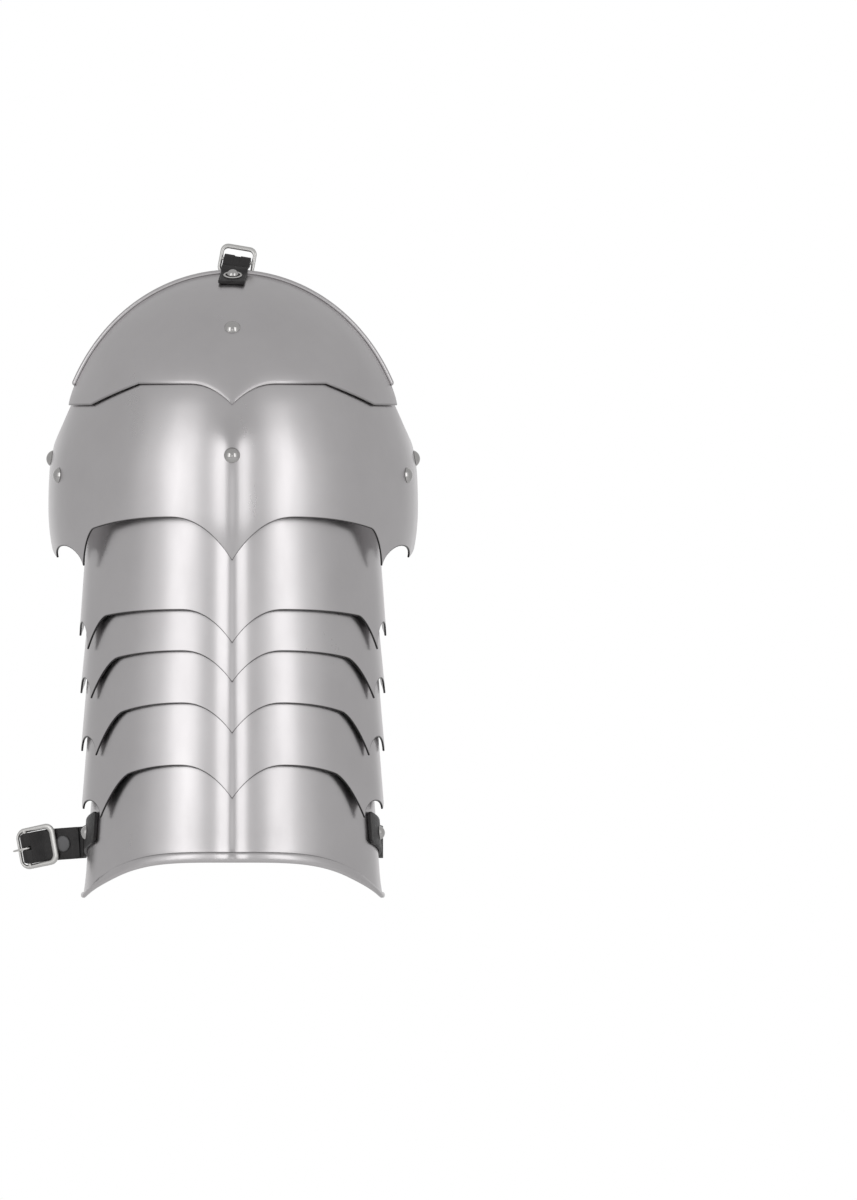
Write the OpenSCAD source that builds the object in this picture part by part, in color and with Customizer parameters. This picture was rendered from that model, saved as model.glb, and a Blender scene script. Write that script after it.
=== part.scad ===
/* [Cap] */
// Full width of the shoulder cap at its widest level
cap_w = 222; // [180:2:250]
// Depth of the cap from its widest plane to its foremost point
cap_d = 120; // [100:2:140]
// Height of the cap's dome above its widest level
cap_h = 145; // [120:1:170]
// Depth below the widest level at which the cap's lower curve would close
cap_drop = 119; // [95:1:150]
// Distance of the neck edge in front of the cap's widest plane
neck_y = 30; // [20:1:45]
// Height of the cap's widest level above the lowest edge
cap_z = 234.6; // [225:0.2:245]

/* [Sheet] */
// Thickness of the steel sheet
sheet_t = 1.2; // [0.8:0.1:1.6]
// Gap between overlapping lames at the middle of the upper one's edge
plate_gap = 0.6; // [0.4:0.1:1.2]
// Gap between the upper plate and the shoulder plate
upper_gap = 0.55; // [0.3:0.05:0.8]
// Gap between the shoulder plate's middle point and the top lame
front_gap = 1.8; // [1.4:0.1:2.6]
// Radius of the roll along the neck edge
roll_r = 1.6; // [1.3:0.1:2.4]
// Height of the flattened hem along the bottom rim
hem_h = 6.2; // [4:0.2:8]
// Depth of the hem, sheet included
hem_d = 2.6; // [2.4:0.1:3.4]
// Height of the soft ridge down the front
keel_h = 2.2; // [0.5:0.1:3.5]
// Angle round the plate over which the ridge fades
keel_a = 6; // [4:0.5:10]

/* [Plate edges] */
// Height of the middle point of each edge, from the upper plate to lame 4
cusp_z = [296.4, 202.8, 153.6, 130.2, 99.6, 60.6]; // [20:0.6:320]
// Rise of the two front arches above the middle point
arch_rise = [12.6, 25.8, 19.8, 18.6, 18, 19.8]; // [8:0.6:30]
// Height of each side point above or below the middle point
point_rise = [0, -3, -3.6, -9.6, -13.2, -11.4]; // [-20:0.6:6]
// Angle round the plate at which the side points lie
point_a = [56, 57.5, 70, 68, 64, 60.5]; // [54:0.5:72]
// Height of the small side scallop above the side point
scallop_rise = [0, 12, 16, 12, 11, 10]; // [0:0.5:20]
// Height of the rear tip above the side point
tip_rise = [0, 5, 8, 3, 2.5, 5]; // [0:0.5:12]
// Middle height of the bottom lame's arched rim
rim_z = 25.6; // [16:0.6:34]
// Height of the arched rim's ends
rim_end_z = 2.6; // [2:0.2:8]
// How far the bottom rim flares outwards
rim_flare = 0.8; // [0.2:0.2:4]
// Height over which the bottom rim flares
flare_h = 14; // [8:0.5:20]
// Radius of the shoulder plate's rear corners
wing_r = 12; // [6:1:16]
// Radius of the lames' rear corners
corner_r = 4; // [2:0.5:6]

/* [Lames] */
// Half width of each lame at its lower side points
lame_w = [92.7, 91.8, 91.4, 91.2, 89]; // [80:0.1:100]
// Distance of the lames' widest plane in front of the cap's
lame_y = 33; // [20:1:45]
// Inward curl of a lame's top edge at the front
top_curl = 5; // [3:0.2:8]
// Inward taper of a lame's sides from the side points to its top edge
side_taper = 6.5; // [4:0.5:10]
// Height by which a lame runs on under the arches of the plate above
overlap = 12; // [8:0.5:16]
// Angle round the body at which the plates end
end_a = 100; // [92:1:108]

/* [Leathers] */
// Thickness of all leathers
leather_t = 2; // [1.4:0.1:2.6]
// Width of the middle leather
middle_leather_w = 20; // [14:1:26]
// Width of the side leathers
side_leather_w = 16; // [12:1:20]
// Angle at which the side leathers run
side_leather_a = 76; // [72:0.5:80]
// Gap between a leather and the plate that it lies on
leather_gap = 0.35; // [0.3:0.05:0.6]

/* [Rivets] */
// Radius of the large domed heads that show
head_r = 4.8; // [3.6:0.1:6]
// Height of the large domed heads
head_h = 3; // [2:0.1:4]
// Radius of the low heads that hide between the plates
low_head_r = 3.6; // [2.6:0.1:4.4]
// Height of the low heads
low_head_h = 1; // [0.6:0.1:1.4]
// Radius of the rivet shanks
shank_r = 1.5; // [1.2:0.1:2]
// Radial clearance of a shank in its holes
shank_fit = 0.05; // [0.02:0.01:0.1]
// Radius of the washers under the rivet tails
washer_r = 4.2; // [3.4:0.1:5]
// Thickness of the washers
washer_t = 0.8; // [0.6:0.1:1.2]

/* [Neck strap] */
// Width of the neck strap
neck_strap_w = 16; // [12:0.5:20]
// Turn of the neck strap about its rivet
neck_turn = 6; // [-10:1:10]
// Sideways lean of the upright end of the strap and its buckle
neck_lean = 7.5; // [0:0.5:12]
// Height of the neck buckle's pin bar above the neck edge
neck_pin_h = 7.3; // [7:0.1:10]
// Outer width of the neck buckle
neck_buckle_w = 22.8; // [20:0.2:28]
// Outer length of the neck buckle
neck_buckle_l = 18.6; // [17:0.2:24]
// Bend radius of the neck buckle's corners
neck_corner_r = 3; // [1.6:0.1:4]

/* [Arm strap] */
// Width of the arm strap
arm_strap_w = 19; // [16:0.5:22]
// Height of the arm strap's middle above the lowest edge
arm_strap_z = 34; // [30:0.5:40]
// Outer width of the arm buckle
arm_buckle_w = 26.4; // [24:0.2:32]
// Outer length of the arm buckle
arm_buckle_l = 27; // [25:0.2:32]
// Bend radius of the arm buckle's corners
arm_corner_r = 4; // [2:0.1:5]
// Direction of the buckle end of the strap seen from above
buckle_dir = 155; // [140:1:170]
// Droop of the buckle end of the strap below the level
strap_droop = 4; // [0:0.5:8]
// Further droop of the buckle where the leather bends
buckle_droop = 7; // [0:0.5:10]
// Length of the free billet behind the arm
billet_l = 170; // [120:2:180]
// Number of holes in the billet
billet_holes = 5; // [3:1:7]
// Distance between the holes in the billet
hole_step = 18; // [14:1:24]
// Radius of the holes in the billet
hole_r = 1.6; // [1.4:0.1:2.2]

/* [Hidden] */
$fn = 48;
steel = [0.74, 0.74, 0.75];
nickel = [0.8, 0.79, 0.77];
black_leather = [0.13, 0.12, 0.12];
dark_metal = [0.25, 0.25, 0.26];

cap_r = cap_w / 2;
dome_power = 2.35;

// Index of each plate: 0 upper plate, 1 shoulder plate, 2 to 6 the lames
bottom = len(lame_w) + 1;
function row_count(i) = i == 0 ? 8 : i == 1 ? 9 : 7;
arch_a = [16, 20, 20, 20, 20, 21, 30];
shelf_a = [35, 49, 56, 50, 47, 43, 60];
shelf_drop = [0, 6.6, 3.6, 4, 5, 4.5, 0];

function mix(a, b, u) = a + (b - a) * u;
function clamp01(u) = max(0, min(1, u));
function smooth(u) = let(c = clamp01(u)) c * c * (3 - 2 * c);

function unit(v) = v / norm(v);

// Relative size of the cap's level section at height z
function cap_g(z) = z > cap_z
    ? sqrt(max(0, 1 - pow(min(1, (z - cap_z) / cap_h), dome_power)))
    : sqrt(1 - pow((cap_z - z) / cap_drop, 2));

// Height at which the cap's section has the relative size g
function cap_level(g) = cap_z + cap_h * pow(1 - g * g, 1 / dome_power);

// Top edge heights, before the rear corners are cut back
shoulder_top = cusp_z[0] + arch_rise[0] + overlap + 4;
function top_z(i) = i == 1 ? shoulder_top : cusp_z[i - 1] + arch_rise[i - 1] + overlap;

function low_z(i) = i == bottom ? rim_z : cusp_z[i];
function side_z(i) = i == bottom ? rim_end_z : cusp_z[i] + point_rise[i];

// Share of a plate's height, from its lower edge up to its top edge
function share(i, z) = (z - low_z(i)) / (top_z(i) - low_z(i));
function side_share(i, z) = (z - side_z(i)) / (top_z(i) - side_z(i));

// Inset of the shoulder plate where it runs under the upper plate; it grows upwards and sideways
tuck_z = cap_z + 21.4;
tuck_slope = 0.012;
tuck_side = 1.6;
function inset(z) = smooth((z - tuck_z) / (cusp_z[0] - tuck_z))
    * (sheet_t + upper_gap + tuck_slope * max(0, z - cusp_z[0]));

// Front depth of each lame at the middle point of its lower edge
function front_d(i) = i == 2
    ? cap_d * cap_g(cusp_z[1]) - lame_y - sheet_t - front_gap
        + top_curl * pow(share(2, cusp_z[1]), 2)
    : front_d(i - 1) - sheet_t - plate_gap + top_curl * pow(share(i, cusp_z[i - 1]), 2);

function half_w(i, z) = i == 0 ? cap_r * cap_g(z)
    : i == 1 ? cap_r * cap_g(z) - tuck_side * inset(z)
    : lame_w[i - 2] - side_taper * side_share(i, z);
function depth(i, z) = i == 0 ? cap_d * cap_g(z)
    : i == 1 ? cap_d * cap_g(z) - inset(z)
    : front_d(i) - top_curl * pow(max(0, share(i, z)), 2);

function keel(i, a, z) = (i == 0 ? 0 : i == 1 ? smooth((cusp_z[0] - 6 - z) / 20) : 1)
    * keel_h * exp(-pow(a / keel_a, 2));

// The bottom lame's flare grows towards its arched rim
function flare(i, a, z) = i == bottom
    ? rim_flare * pow(clamp01(1 - (z - rim_edge(a)) / flare_h), 2) : 0;
function rim_edge(a) = rim_end_z + (rim_z - rim_end_z) * (1 - pow(min(1, abs(sin(a)) / 0.99), 4));

// Point on the outer face of plate i at angle a round the body and height z
function outer(i, a, z, ridge = 1) =
    let(back = i < 2 ? 0 : lame_y, f = flare(i, a, z))
    [(half_w(i, z) + f) * sin(a),
     -back - (depth(i, z) + f + ridge * keel(i, a, z)) * cos(a), z];

// Outward direction of the plate's face there
function outward(i, a, z, ridge = 1) =
    let(da = 0.4, dz = 0.2)
    unit(cross(outer(i, a + da, z, ridge) - outer(i, a - da, z, ridge),
               outer(i, a, z + dz, ridge) - outer(i, a, z - dz, ridge)));

// Point that lies deeper than the outer face by the given amount
function deep(i, a, z, in, ridge = 1) = outer(i, a, z, ridge) - in * outward(i, a, z, ridge);

// Rounding of the rear corners: how far an edge has moved at angle a
function corner_size(i) = i == 1 ? wing_r : corner_r;
function corner_a(i) = corner_size(i) / (i == 1 ? cap_r : lame_w[0]) * 180 / PI;
function corner(i, a) = let(u = clamp01((abs(a) - end_a) / corner_a(i) + 1))
    corner_size(i) * (1 - sqrt(1 - u * u));

// Lower edge height round a plate
function edge_z(i, a) = i == bottom ? rim_edge(a) : i == 0 ? cut_z(i, a) : cut_z(i, a) + corner(i, a);

// The same with its points, arches and scallops before the rear corners are rounded
function cut_z(i, a) = let(b = abs(a))
    b < arch_a[i]
        ? cusp_z[i] + arch_rise[i] * (1 - pow(1 - b / arch_a[i], 2.3))
    : b < shelf_a[i]
        ? cusp_z[i] + arch_rise[i]
            - shelf_drop[i] * pow((b - arch_a[i]) / (shelf_a[i] - arch_a[i]), 2)
    : b < point_a[i]
        ? mix(cusp_z[i] + arch_rise[i] - shelf_drop[i], cusp_z[i] + point_rise[i],
            pow((b - shelf_a[i]) / (point_a[i] - shelf_a[i]), i == 0 ? 1 : 1.5))
    : b < scallop_a(i)
        ? cusp_z[i] + point_rise[i] + scallop_rise[i]
            * sqrt(1 - pow(1 - (b - point_a[i]) / (scallop_a(i) - point_a[i]), 2))
    : b < tip_a(i)
        ? cusp_z[i] + point_rise[i] + tip_rise[i] + (scallop_rise[i] - tip_rise[i])
            * sqrt(1 - pow((b - scallop_a(i)) / (tip_a(i) - scallop_a(i)), 2))
    : cusp_z[i] + point_rise[i] + tip_rise[i] + 0.6 * (b - tip_a(i));
function scallop_a(i) = point_a[i] + 11;
function tip_a(i) = point_a[i] + 22;

// Top edge height round a plate
function rim_a(z) = acos(neck_y / (cap_d * cap_g(z)));
upper_end_a = rim_a(cusp_z[0] + 14);
function neck_edge(a) = cap_level(neck_y / (cap_d * cos(a)));
rear_cut = [[0, 0], [60, 0], [66, 20], [70, 35], [76, 44], [84, 49], [92, 54], [100, 59],
    [110, 66]];
rear_fall = 4;
fall_a = 60;
function upper_edge(i, a) = i == 0 ? neck_edge(a)
    : i == 1 ? shoulder_top - lookup(abs(a), rear_cut) - corner(i, a)
    : top_z(i) - rear_fall * smooth((abs(a) - fall_a) / (end_a - fall_a)) - corner(i, a);

// Angles at which each plate is sampled, with one at every point of its edge
function span(a, b, n) = [for (k = [0 : n - 1]) mix(a, b, k / n)];
function corner_angles(i) = [for (u = [1, 0.6, 0.25, 0]) end_a - u * corner_a(i)];
function half_angles(i) = i == 0
    ? concat([0, 4, 8, 12, 16], span(20, 56, 6), span(56, upper_end_a, 5), [upper_end_a])
    : i == bottom
    ? concat([0, 2.5, 5, 8, 12], span(17, 65, 7), span(65, end_a - corner_a(i), 6), corner_angles(i))
    : concat([0, 2.5, 5, 8, 12, 16], span(arch_a[i], shelf_a[i], 4),
        span(shelf_a[i], point_a[i], 3), span(point_a[i], tip_a(i), 8),
        span(tip_a(i), end_a - corner_a(i), 2), corner_angles(i));
function angles(i) = let(h = half_angles(i), n = len(h))
    [for (k = [n - 1 : -1 : 1 - n]) k < 0 ? -h[-k] : h[k]];

// Height of sample k of n rows between the lower and the upper edge of a plate
function row_z(i, a, k, n) = i == 0
    ? let(ga = acos(cap_g(edge_z(0, a))), gb = acos(neck_y / (cap_d * cos(a))))
        cap_level(cos(mix(gb, ga, k / n)))
    : mix(upper_edge(i, a), edge_z(i, a), k / n);

// Bead of a turned edge: its points run round from the outer to the inner face
// It is an oval, as high along the sheet as high and as deep as deep_r, both from its middle
bead_steps = 7;
bead_end = 330;
function bead(i, a, z, toward, high, deep_r) =
    let(n = outward(i, a, z), p = deep(i, a, z, sheet_t),
        q = outer(i, a, z + toward * 0.3), t0 = q - outer(i, a, z),
        t = unit(t0 - (t0 * n) * n), c = p + deep_r * n,
        start = acos((deep_r - sheet_t) / deep_r))
    [for (k = [0 : bead_steps - 1])
        let(g = mix(start, bead_end, k / (bead_steps - 1)))
        c - high * sin(g) * t - deep_r * cos(g) * n];

// The hem narrows towards the corners of the rim
hem_a = 52;
function hem_r(a) = mix(hem_h / 2, hem_d * 0.65, smooth((abs(a) - hem_a) / 24));

// The outer face stops where its bead starts
function column(i, a) =
    let(n = row_count(i),
        down = [for (k = [i == 0 ? 1 : 0 : i == bottom ? n - 1 : n]) outer(i, a, row_z(i, a, k, n))],
        up = [for (k = [n : -1 : 0]) deep(i, a, row_z(i, a, k, n), sheet_t)],
        low = i == bottom ? bead(i, a, edge_z(i, a), -1, hem_r(a), hem_d / 2) : [],
        top = i == 0 ? let(b = bead(i, a, neck_edge(a), 1, roll_r, roll_r))
            [for (k = [bead_steps - 1 : -1 : 0]) b[k]] : [])
    concat(down, low, up, top);

// Closed skin over a list of closed loops of points
module skin(loops) {
    m = len(loops[0]);
    n = len(loops);
    points = [for (l = loops) each l];
    sides = [for (j = [0 : n - 2], k = [0 : m - 1])
        let(a = j * m + k, b = j * m + (k + 1) % m, c = b + m, d = a + m)
        each [[a, b, c], [a, c, d]]];
    ends = [[for (k = [m - 1 : -1 : 0]) k], [for (k = [0 : m - 1]) (n - 1) * m + k]];
    polyhedron(points = points, faces = concat(sides, ends), convexity = 10);
}

// Moves the children to the outer face of plate i, with +Z pointing outwards
module on_plate(i, a, z, ridge = 1) {
    n = outward(i, a, z, ridge);
    translate(outer(i, a, z, ridge))
    rotate([0, acos(n[2]), atan2(n[1], n[0])])
    children();
}

// Rivet places: [plate, angle, height, large head]
rivet_drop = 8;
neck_rivet_back = 12;
neck_rivet_z = cap_level((neck_y + neck_rivet_back) / cap_d);
upper_rivet_z = 342.6;
shoulder_rivet_z = 265.8;
side_rivet_z = [254.2, 264.6];
side_rivet_a = [71.5, 88];
function lame_rivet_z(i) = top_z(i) - rivet_drop;
function rivet_z(i) = i == 0 ? upper_rivet_z : i == 1 ? shoulder_rivet_z : lame_rivet_z(i);
side_drop = 4;
function side_rivet_height(i) = i == 1 ? side_rivet_z[0] : lame_rivet_z(i) - side_drop;
function side_rivets(i) = i == 1
    ? [[side_rivet_a[0], side_rivet_z[0]], [side_rivet_a[1], side_rivet_z[1]]]
    : [[side_leather_a, side_rivet_height(i)]];
function rivet_places(i) = concat([[0, rivet_z(i)]], i == 0 ? []
    : [for (r = side_rivets(i), s = [-1, 1]) [s * r[0], r[1]]]);

// Depth at which a leather lies inside a plate; the shoulder plate's hollow is the roundest
function lie(i) = sheet_t + leather_gap + (i == 1 ? 0.25 : 0);

// The same at a rivet, where the middle leather bridges the hollow ridge
function leather_depth(i, a) = lie(i) + (a == 0 ? keel(i, 0, rivet_z(i)) : 0);

module dome(r, h) {
    ball = (r * r + h * h) / (2 * h);
    intersection() {
        translate([0, 0, h - ball]) sphere(r = ball);
        cylinder(r = r, h = h);
    }
}

// Domed rivet whose tail is peened over below its grip
tail_r = 2.6;
tail_h = 1;
module rivet(r, h, grip) {
    dome(r, h);
    translate([0, 0, -grip]) cylinder(r = shank_r, h = grip);
    translate([0, 0, -grip]) mirror([0, 0, 1]) dome(tail_r, tail_h);
}

// The drill reaches through the sheet and the leather on both sides of it
drill = 14;
module rivet_hole() {
    translate([0, 0, -drill]) cylinder(r = shank_r + shank_fit, h = 2 * drill);
}

module washer(r) {
    difference() {
        cylinder(r = r, h = washer_t);
        translate([0, 0, -1]) cylinder(r = shank_r + shank_fit, h = washer_t + 2);
    }
}

// Flat washers lie clear of the hollow face of their leather
seat = 0.45;
function grip(i, a) = leather_depth(i, a) + leather_t + seat + washer_t;

module plate_rivets(i) {
    for (p = rivet_places(i)) {
        big = i < 2;
        on_plate(i, p[0], p[1])
        rivet(big ? head_r : low_head_r, big ? head_h : low_head_h, grip(i, p[0]));
    }
}

module plate_washers(i) {
    for (p = rivet_places(i)) {
        on_plate(i, p[0], p[1])
        translate([0, 0, -grip(i, p[0])]) washer(washer_r);
    }
}

// Sheet of plate i with its rivet holes and those for the rivets of the straps
module plate(i) {
    difference() {
        skin([for (a = angles(i)) column(i, a)]);
        for (p = rivet_places(i)) on_plate(i, p[0], p[1]) rivet_hole();
        if (i == 0) on_plate(0, 0, neck_rivet_z) rivet_hole();
        if (i == bottom) {
            for (s = [-1, 1]) on_plate(i, s * strap_rivet_a, strap_rivet_z) rivet_hole();
        }
    }
}

// Leather between the rivets of plates i - 1 and i
// Rows run downwards: [plate, middle angle, half width angle, height]
tab = 6.5;
tab_gap = 0.3;
first_tab = 4.5;
flat_rows = 3;
edge_row = 2.5;

// Wide part of the uppermost side leathers, which hold two rivets each
// Rows run downwards: [place between the two rivets, half width angle, height]
wide_rows = [[0.52, 12, side_rivet_z[1] + 5],
    [0.51, 12.4, mix(side_rivet_z[1], side_rivet_z[0], 0.4)],
    [0.48, 12.4, side_rivet_z[0] - 1],
    [0.3, 9, side_rivet_z[0] - tab]];
function half_a(i, w) = asin(w / 2 / (i < 2 ? cap_r : lame_w[0] - side_taper));
function leather_rows(i, a, w) =
    let(s = a == 0 ? 0 : sign(a), h = half_a(i, w), zt = upper_edge(i, a),
        za = s == 0 ? rivet_z(i - 1) : side_rivet_height(i - 1),
        zb = s == 0 ? rivet_z(i) : side_rivet_height(i))
    concat(
        s != 0 && i == 2
            ? [for (r = wide_rows) [1, s * mix(side_rivet_a[0], side_rivet_a[1], r[0]), r[1], r[2]]]
        : i == 1 ? [[0, 0, h, za + first_tab], [0, 0, h, za - first_tab]]
        : [[i - 1, a, h, za - tab - tab_gap]],
        [[i, a, h, zt + edge_row], [i, a, h, zb + flat_rows], [i, a, h, zb - flat_rows],
            [i, a, h, zb - tab]]);

module leather(i, a, w) {
    rows = leather_rows(i, a, w);
    across = 4;
    loops = [for (r = rows)
        let(in = lie(r[0]), k = a == 0 ? 0 : 1)
        concat(
            [for (c = [0 : across]) deep(r[0], r[1] + r[2] * (2 * c / across - 1), r[3], in, k)],
            [for (c = [across : -1 : 0])
                deep(r[0], r[1] + r[2] * (2 * c / across - 1), r[3], in + leather_t, k)])];
    color(black_leather)
    difference() {
        skin(loops);
        on_plate(i, a, a == 0 ? rivet_z(i) : side_rivet_height(i)) rivet_hole();
        if (i == 1) on_plate(0, 0, upper_rivet_z) rivet_hole();
        if (i == 2 && a != 0) {
            for (r = side_rivets(1)) on_plate(1, sign(a) * r[0], r[1]) rivet_hole();
        }
    }
}

// Flat ribbon along points in a plane, with the given thickness to its left
function turn(v) = [-v[1], v[0]];
function ribbon_side(pts, t) = [for (k = [0 : len(pts) - 1])
    let(a = unit(pts[min(k + 1, len(pts) - 1)] - pts[max(k - 1, 0)])) pts[k] + t * turn(a)];
module ribbon(pts, t) {
    near = ribbon_side(pts, 0);
    far = ribbon_side(pts, t);
    n = len(pts);
    polygon(concat(near, [for (k = [n - 1 : -1 : 0]) far[k]]));
}

// Buckle lying in the XY plane: the strap runs along +X and the pin bar is on the origin
bar_fit = 0.06;
module buckle(l, w, ahead, bar, pin, c) {
    x0 = ahead - bar;
    x1 = ahead - l + bar;
    y1 = w / 2 - bar;
    for (s = [-1, 1]) {
        for (x = [x0, x1]) {
            translate([x > 0 ? x - c : x + c, s * (y1 - c), 0])
            rotate([0, 0, x > 0 ? (s > 0 ? 0 : -90) : (s > 0 ? 90 : 180)])
            rotate_extrude(angle = 90) translate([c, 0]) circle(r = bar, $fn = 24);
        }
        translate([x1 + c, s * y1, 0]) rotate([0, 90, 0])
            cylinder(r = bar, h = x0 - x1 - 2 * c, $fn = 24);
    }
    for (x = [x0, x1]) translate([x, -y1 + c, 0]) rotate([-90, 0, 0])
        cylinder(r = bar, h = 2 * (y1 - c), $fn = 24);
    translate([0, -y1, 0]) rotate([-90, 0, 0]) cylinder(r = pin, h = 2 * y1);
}

// Tongue with an eye round the pin bar, reaching over the front bar
tongue_gap = 0.15;
tongue_end = 1.6;
module tongue(reach, pin, bar, wire) {
    eye = pin + bar_fit + wire;
    rise = bar + wire + tongue_gap;
    angle = asin(rise / reach);
    rotate([90, 0, 0]) rotate_extrude() translate([eye, 0]) circle(r = wire, $fn = 20);
    difference() {
        rotate([0, -angle, 0]) translate([eye, 0, 0]) rotate([0, 90, 0])
            cylinder(r1 = wire, r2 = wire * 0.7, h = reach + tongue_end - eye, $fn = 20);
        rotate([90, 0, 0]) cylinder(r = pin + bar_fit, h = 10, center = true);
    }
}

// Fold of leather round a pin bar, in the plane across the bar
module fold(pin) {
    difference() {
        circle(r = pin + bar_fit + leather_t);
        circle(r = pin + bar_fit);
    }
}

// Neck strap: lies on the dome, climbs over the bead of the rim and stands up
neck_pin = 1.1;
neck_bar = 1.2;
lift = 0.3;
function dome_yz(y, up) = let(g = -y / cap_d, z = cap_level(g), n = outward(0, 0, z))
    [y + up * n[1], z + up * n[2]];
rim_top = dome_yz(-neck_y, 0);
neck_pin_back = 5.6;
neck_pin_yz = rim_top + [neck_pin_back, neck_pin_h];
neck_fold_z = rim_top[1] + 4.3;
neck_ahead = 9.2;
neck_back = 8;

module neck_frame() {
    on_plate(0, 0, neck_rivet_z) rotate([0, 0, neck_turn]) children();
}

// Turns what is drawn in the middle plane with the strap about its rivet
module turned() {
    p = outer(0, 0, neck_rivet_z);
    translate(p) rotate(a = -neck_turn, v = outward(0, 0, neck_rivet_z)) translate(-p) children();
}

// Leans the upright part of the strap sideways
module leaning() {
    turned() translate([0, 0, neck_fold_z]) rotate([0, neck_lean, 0])
    translate([0, 0, -neck_fold_z]) children();
}

// Frame of the neck pin bar: +X runs towards the open end of the buckle
module at_neck_pin() {
    leaning() translate([0, neck_pin_yz[0], neck_pin_yz[1]])
    rotate([-neck_back, 0, 0]) rotate([0, -90, 0]) rotate([90, 0, 0]) children();
}

// Extrudes an outline in the YZ plane across the neck strap's width
module across_neck() {
    rotate([90, 0, 90]) translate([0, 0, -neck_strap_w / 2]) linear_extrude(neck_strap_w)
    children();
}

// Its parts from the front end to the pin bar: distances in front of the neck edge, then [y, z]
strap_flat = [20, 16, 12, 9, 6.3];
strap_over = [[-3.6, 1], [-1.9, 2.1], [-0.4, 2.5], [1.1, 2.9], [2, 4], [2.2, 4.8]];
strap_up = [[1.9, 3.6], [2.4, 4.6], [3.3, 5.9]];
tongue_slot = [10.4, 3.4, 8.8];
module neck_strap() {
    flat = [for (y = strap_flat) dome_yz(-neck_y - y, lift)];
    over = [for (p = strap_over) rim_top + p];
    up = concat([for (p = strap_up) rim_top + p], [neck_pin_yz - [neck_pin + bar_fit, 0]]);
    color(black_leather)
    difference() {
        union() {
            turned() across_neck() ribbon(concat(flat, over), leather_t);
            leaning() across_neck() {
                ribbon(up, leather_t);
                translate(neck_pin_yz) fold(neck_pin);
            }
        }
        neck_frame() rivet_hole();
        at_neck_pin() translate([1.8, 0, 0.9]) cube(tongue_slot, center = true);
    }
}

// A ring-shaped washer lies under the head, a flat one inside the plate
ring_r = 5.6;
ring_gap = 0.1;
neck_head_r = 3.4;
neck_head_base = lift + leather_t + washer_t + 1.5 * ring_gap;
module neck_strap_rivet() {
    color(nickel) on_plate(0, 0, neck_rivet_z) translate([0, 0, neck_head_base])
    rivet(neck_head_r, head_h, neck_head_base + sheet_t + seat + washer_t);
}

module neck_strap_washers() {
    color(nickel) on_plate(0, 0, neck_rivet_z) {
        translate([0, 0, lift + leather_t + ring_gap]) washer(ring_r);
        translate([0, 0, -sheet_t - seat - washer_t]) washer(washer_r);
    }
}

module neck_buckle() {
    color(nickel) at_neck_pin()
    buckle(neck_buckle_l, neck_buckle_w, neck_ahead, neck_bar, neck_pin, neck_corner_r);
}

// The tongue hangs down behind the buckle's lower bar
neck_wire = 0.9;
module neck_tongue() {
    color(nickel) at_neck_pin() rotate([0, 180, 0])
    tongue(neck_ahead - neck_bar, neck_pin, neck_bar, neck_wire);
}

// Arm straps, drawn from above along the side of the bottom lame
arm_pin = 1.3;
arm_bar = 1.5;
arm_ahead = 7.5;
strap_rivet_a = 84;
strap_rise = 0.2;
strap_front_a = 70;
strap_step = 5;
half_t = leather_t / 2;
half_strap = arm_strap_w / 2;
crease_off = [2.4, 7];
crease_low = outer(bottom, end_a, arm_strap_z);
crease = [crease_low[0] + lift + crease_off[0], crease_low[1] + crease_off[1]];
function strap_z(a) = arm_strap_z + strap_rise * (crease[1] - outer(bottom, a, arm_strap_z)[1]);
strap_rivet_z = strap_z(strap_rivet_a);

// Riveted end of an arm strap: it lies on the plate and rises towards its front end
module strap_end(s) {
    hang = [for (p = [[0, -1.65], [-0.7, -3.6]])
        [for (c = [[0, -1], [0, 1], [leather_t, 1], [leather_t, -1]])
            [crease[0] + p[0] + c[0], crease[1] + p[1],
                arm_strap_z - strap_rise * p[1] + c[1] * half_strap]]];
    lain = [for (a = [end_a : -strap_step : strap_front_a])
        [for (c = [[0, -1], [0, 1], [leather_t, 1], [leather_t, -1]])
            deep(bottom, a, strap_z(a) + c[1] * half_strap, -lift - c[0])]];
    color(black_leather)
    mirror([s < 0 ? 1 : 0, 0, 0])
    difference() {
        skin(concat(hang, lain));
        on_plate(bottom, strap_rivet_a, strap_rivet_z) rivet_hole();
    }
}

strap_head_r = 4.2;
module strap_end_rivet(s) {
    base = lift + leather_t + ring_gap;
    color(nickel) mirror([s < 0 ? 1 : 0, 0, 0]) on_plate(bottom, strap_rivet_a, strap_rivet_z) {
        translate([0, 0, base]) rivet(strap_head_r, head_h, base + sheet_t + seat + washer_t);
        translate([0, 0, -sheet_t - seat - washer_t]) washer(washer_r);
    }
}

// Rounded end of a strap's free part at its crease
nose_r = half_t - 0.05;

// Middle of the crease's leather, about which the free part swings
hinge_xy = [crease[0] + half_t, crease[1]];
module at_crease(s, dir, droop = 0) {
    translate([s * hinge_xy[0], hinge_xy[1], arm_strap_z]) rotate([0, droop, dir]) children();
}

// Middle line of the buckle's strap from its crease round the pin bar and back
// The buckle stands clear in front of the two layers
buckle_reach = 36;
loop_back = 11.5;
layer = leather_t + 0.1;
pin_out = layer + half_t + 0.15 + arm_bar;
fold_r = arm_pin + bar_fit + half_t;
strap_line = concat(
    [[0.4, 0], [loop_back, 0], [buckle_reach - 14, 0], [buckle_reach - 10, 0.2],
        [buckle_reach - 6, 1], [buckle_reach - 3, 1.9]],
    [for (g = [-90 : 22.5 : 90]) [buckle_reach + fold_r * cos(g), pin_out + fold_r * sin(g)]],
    [[buckle_reach - 3, pin_out + fold_r - 0.6], [buckle_reach - 7, 4.6], [buckle_reach - 10.5, 2.9],
        [buckle_reach - 14, layer], [loop_back, layer], [loop_back - 5.5, layer]]);

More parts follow.
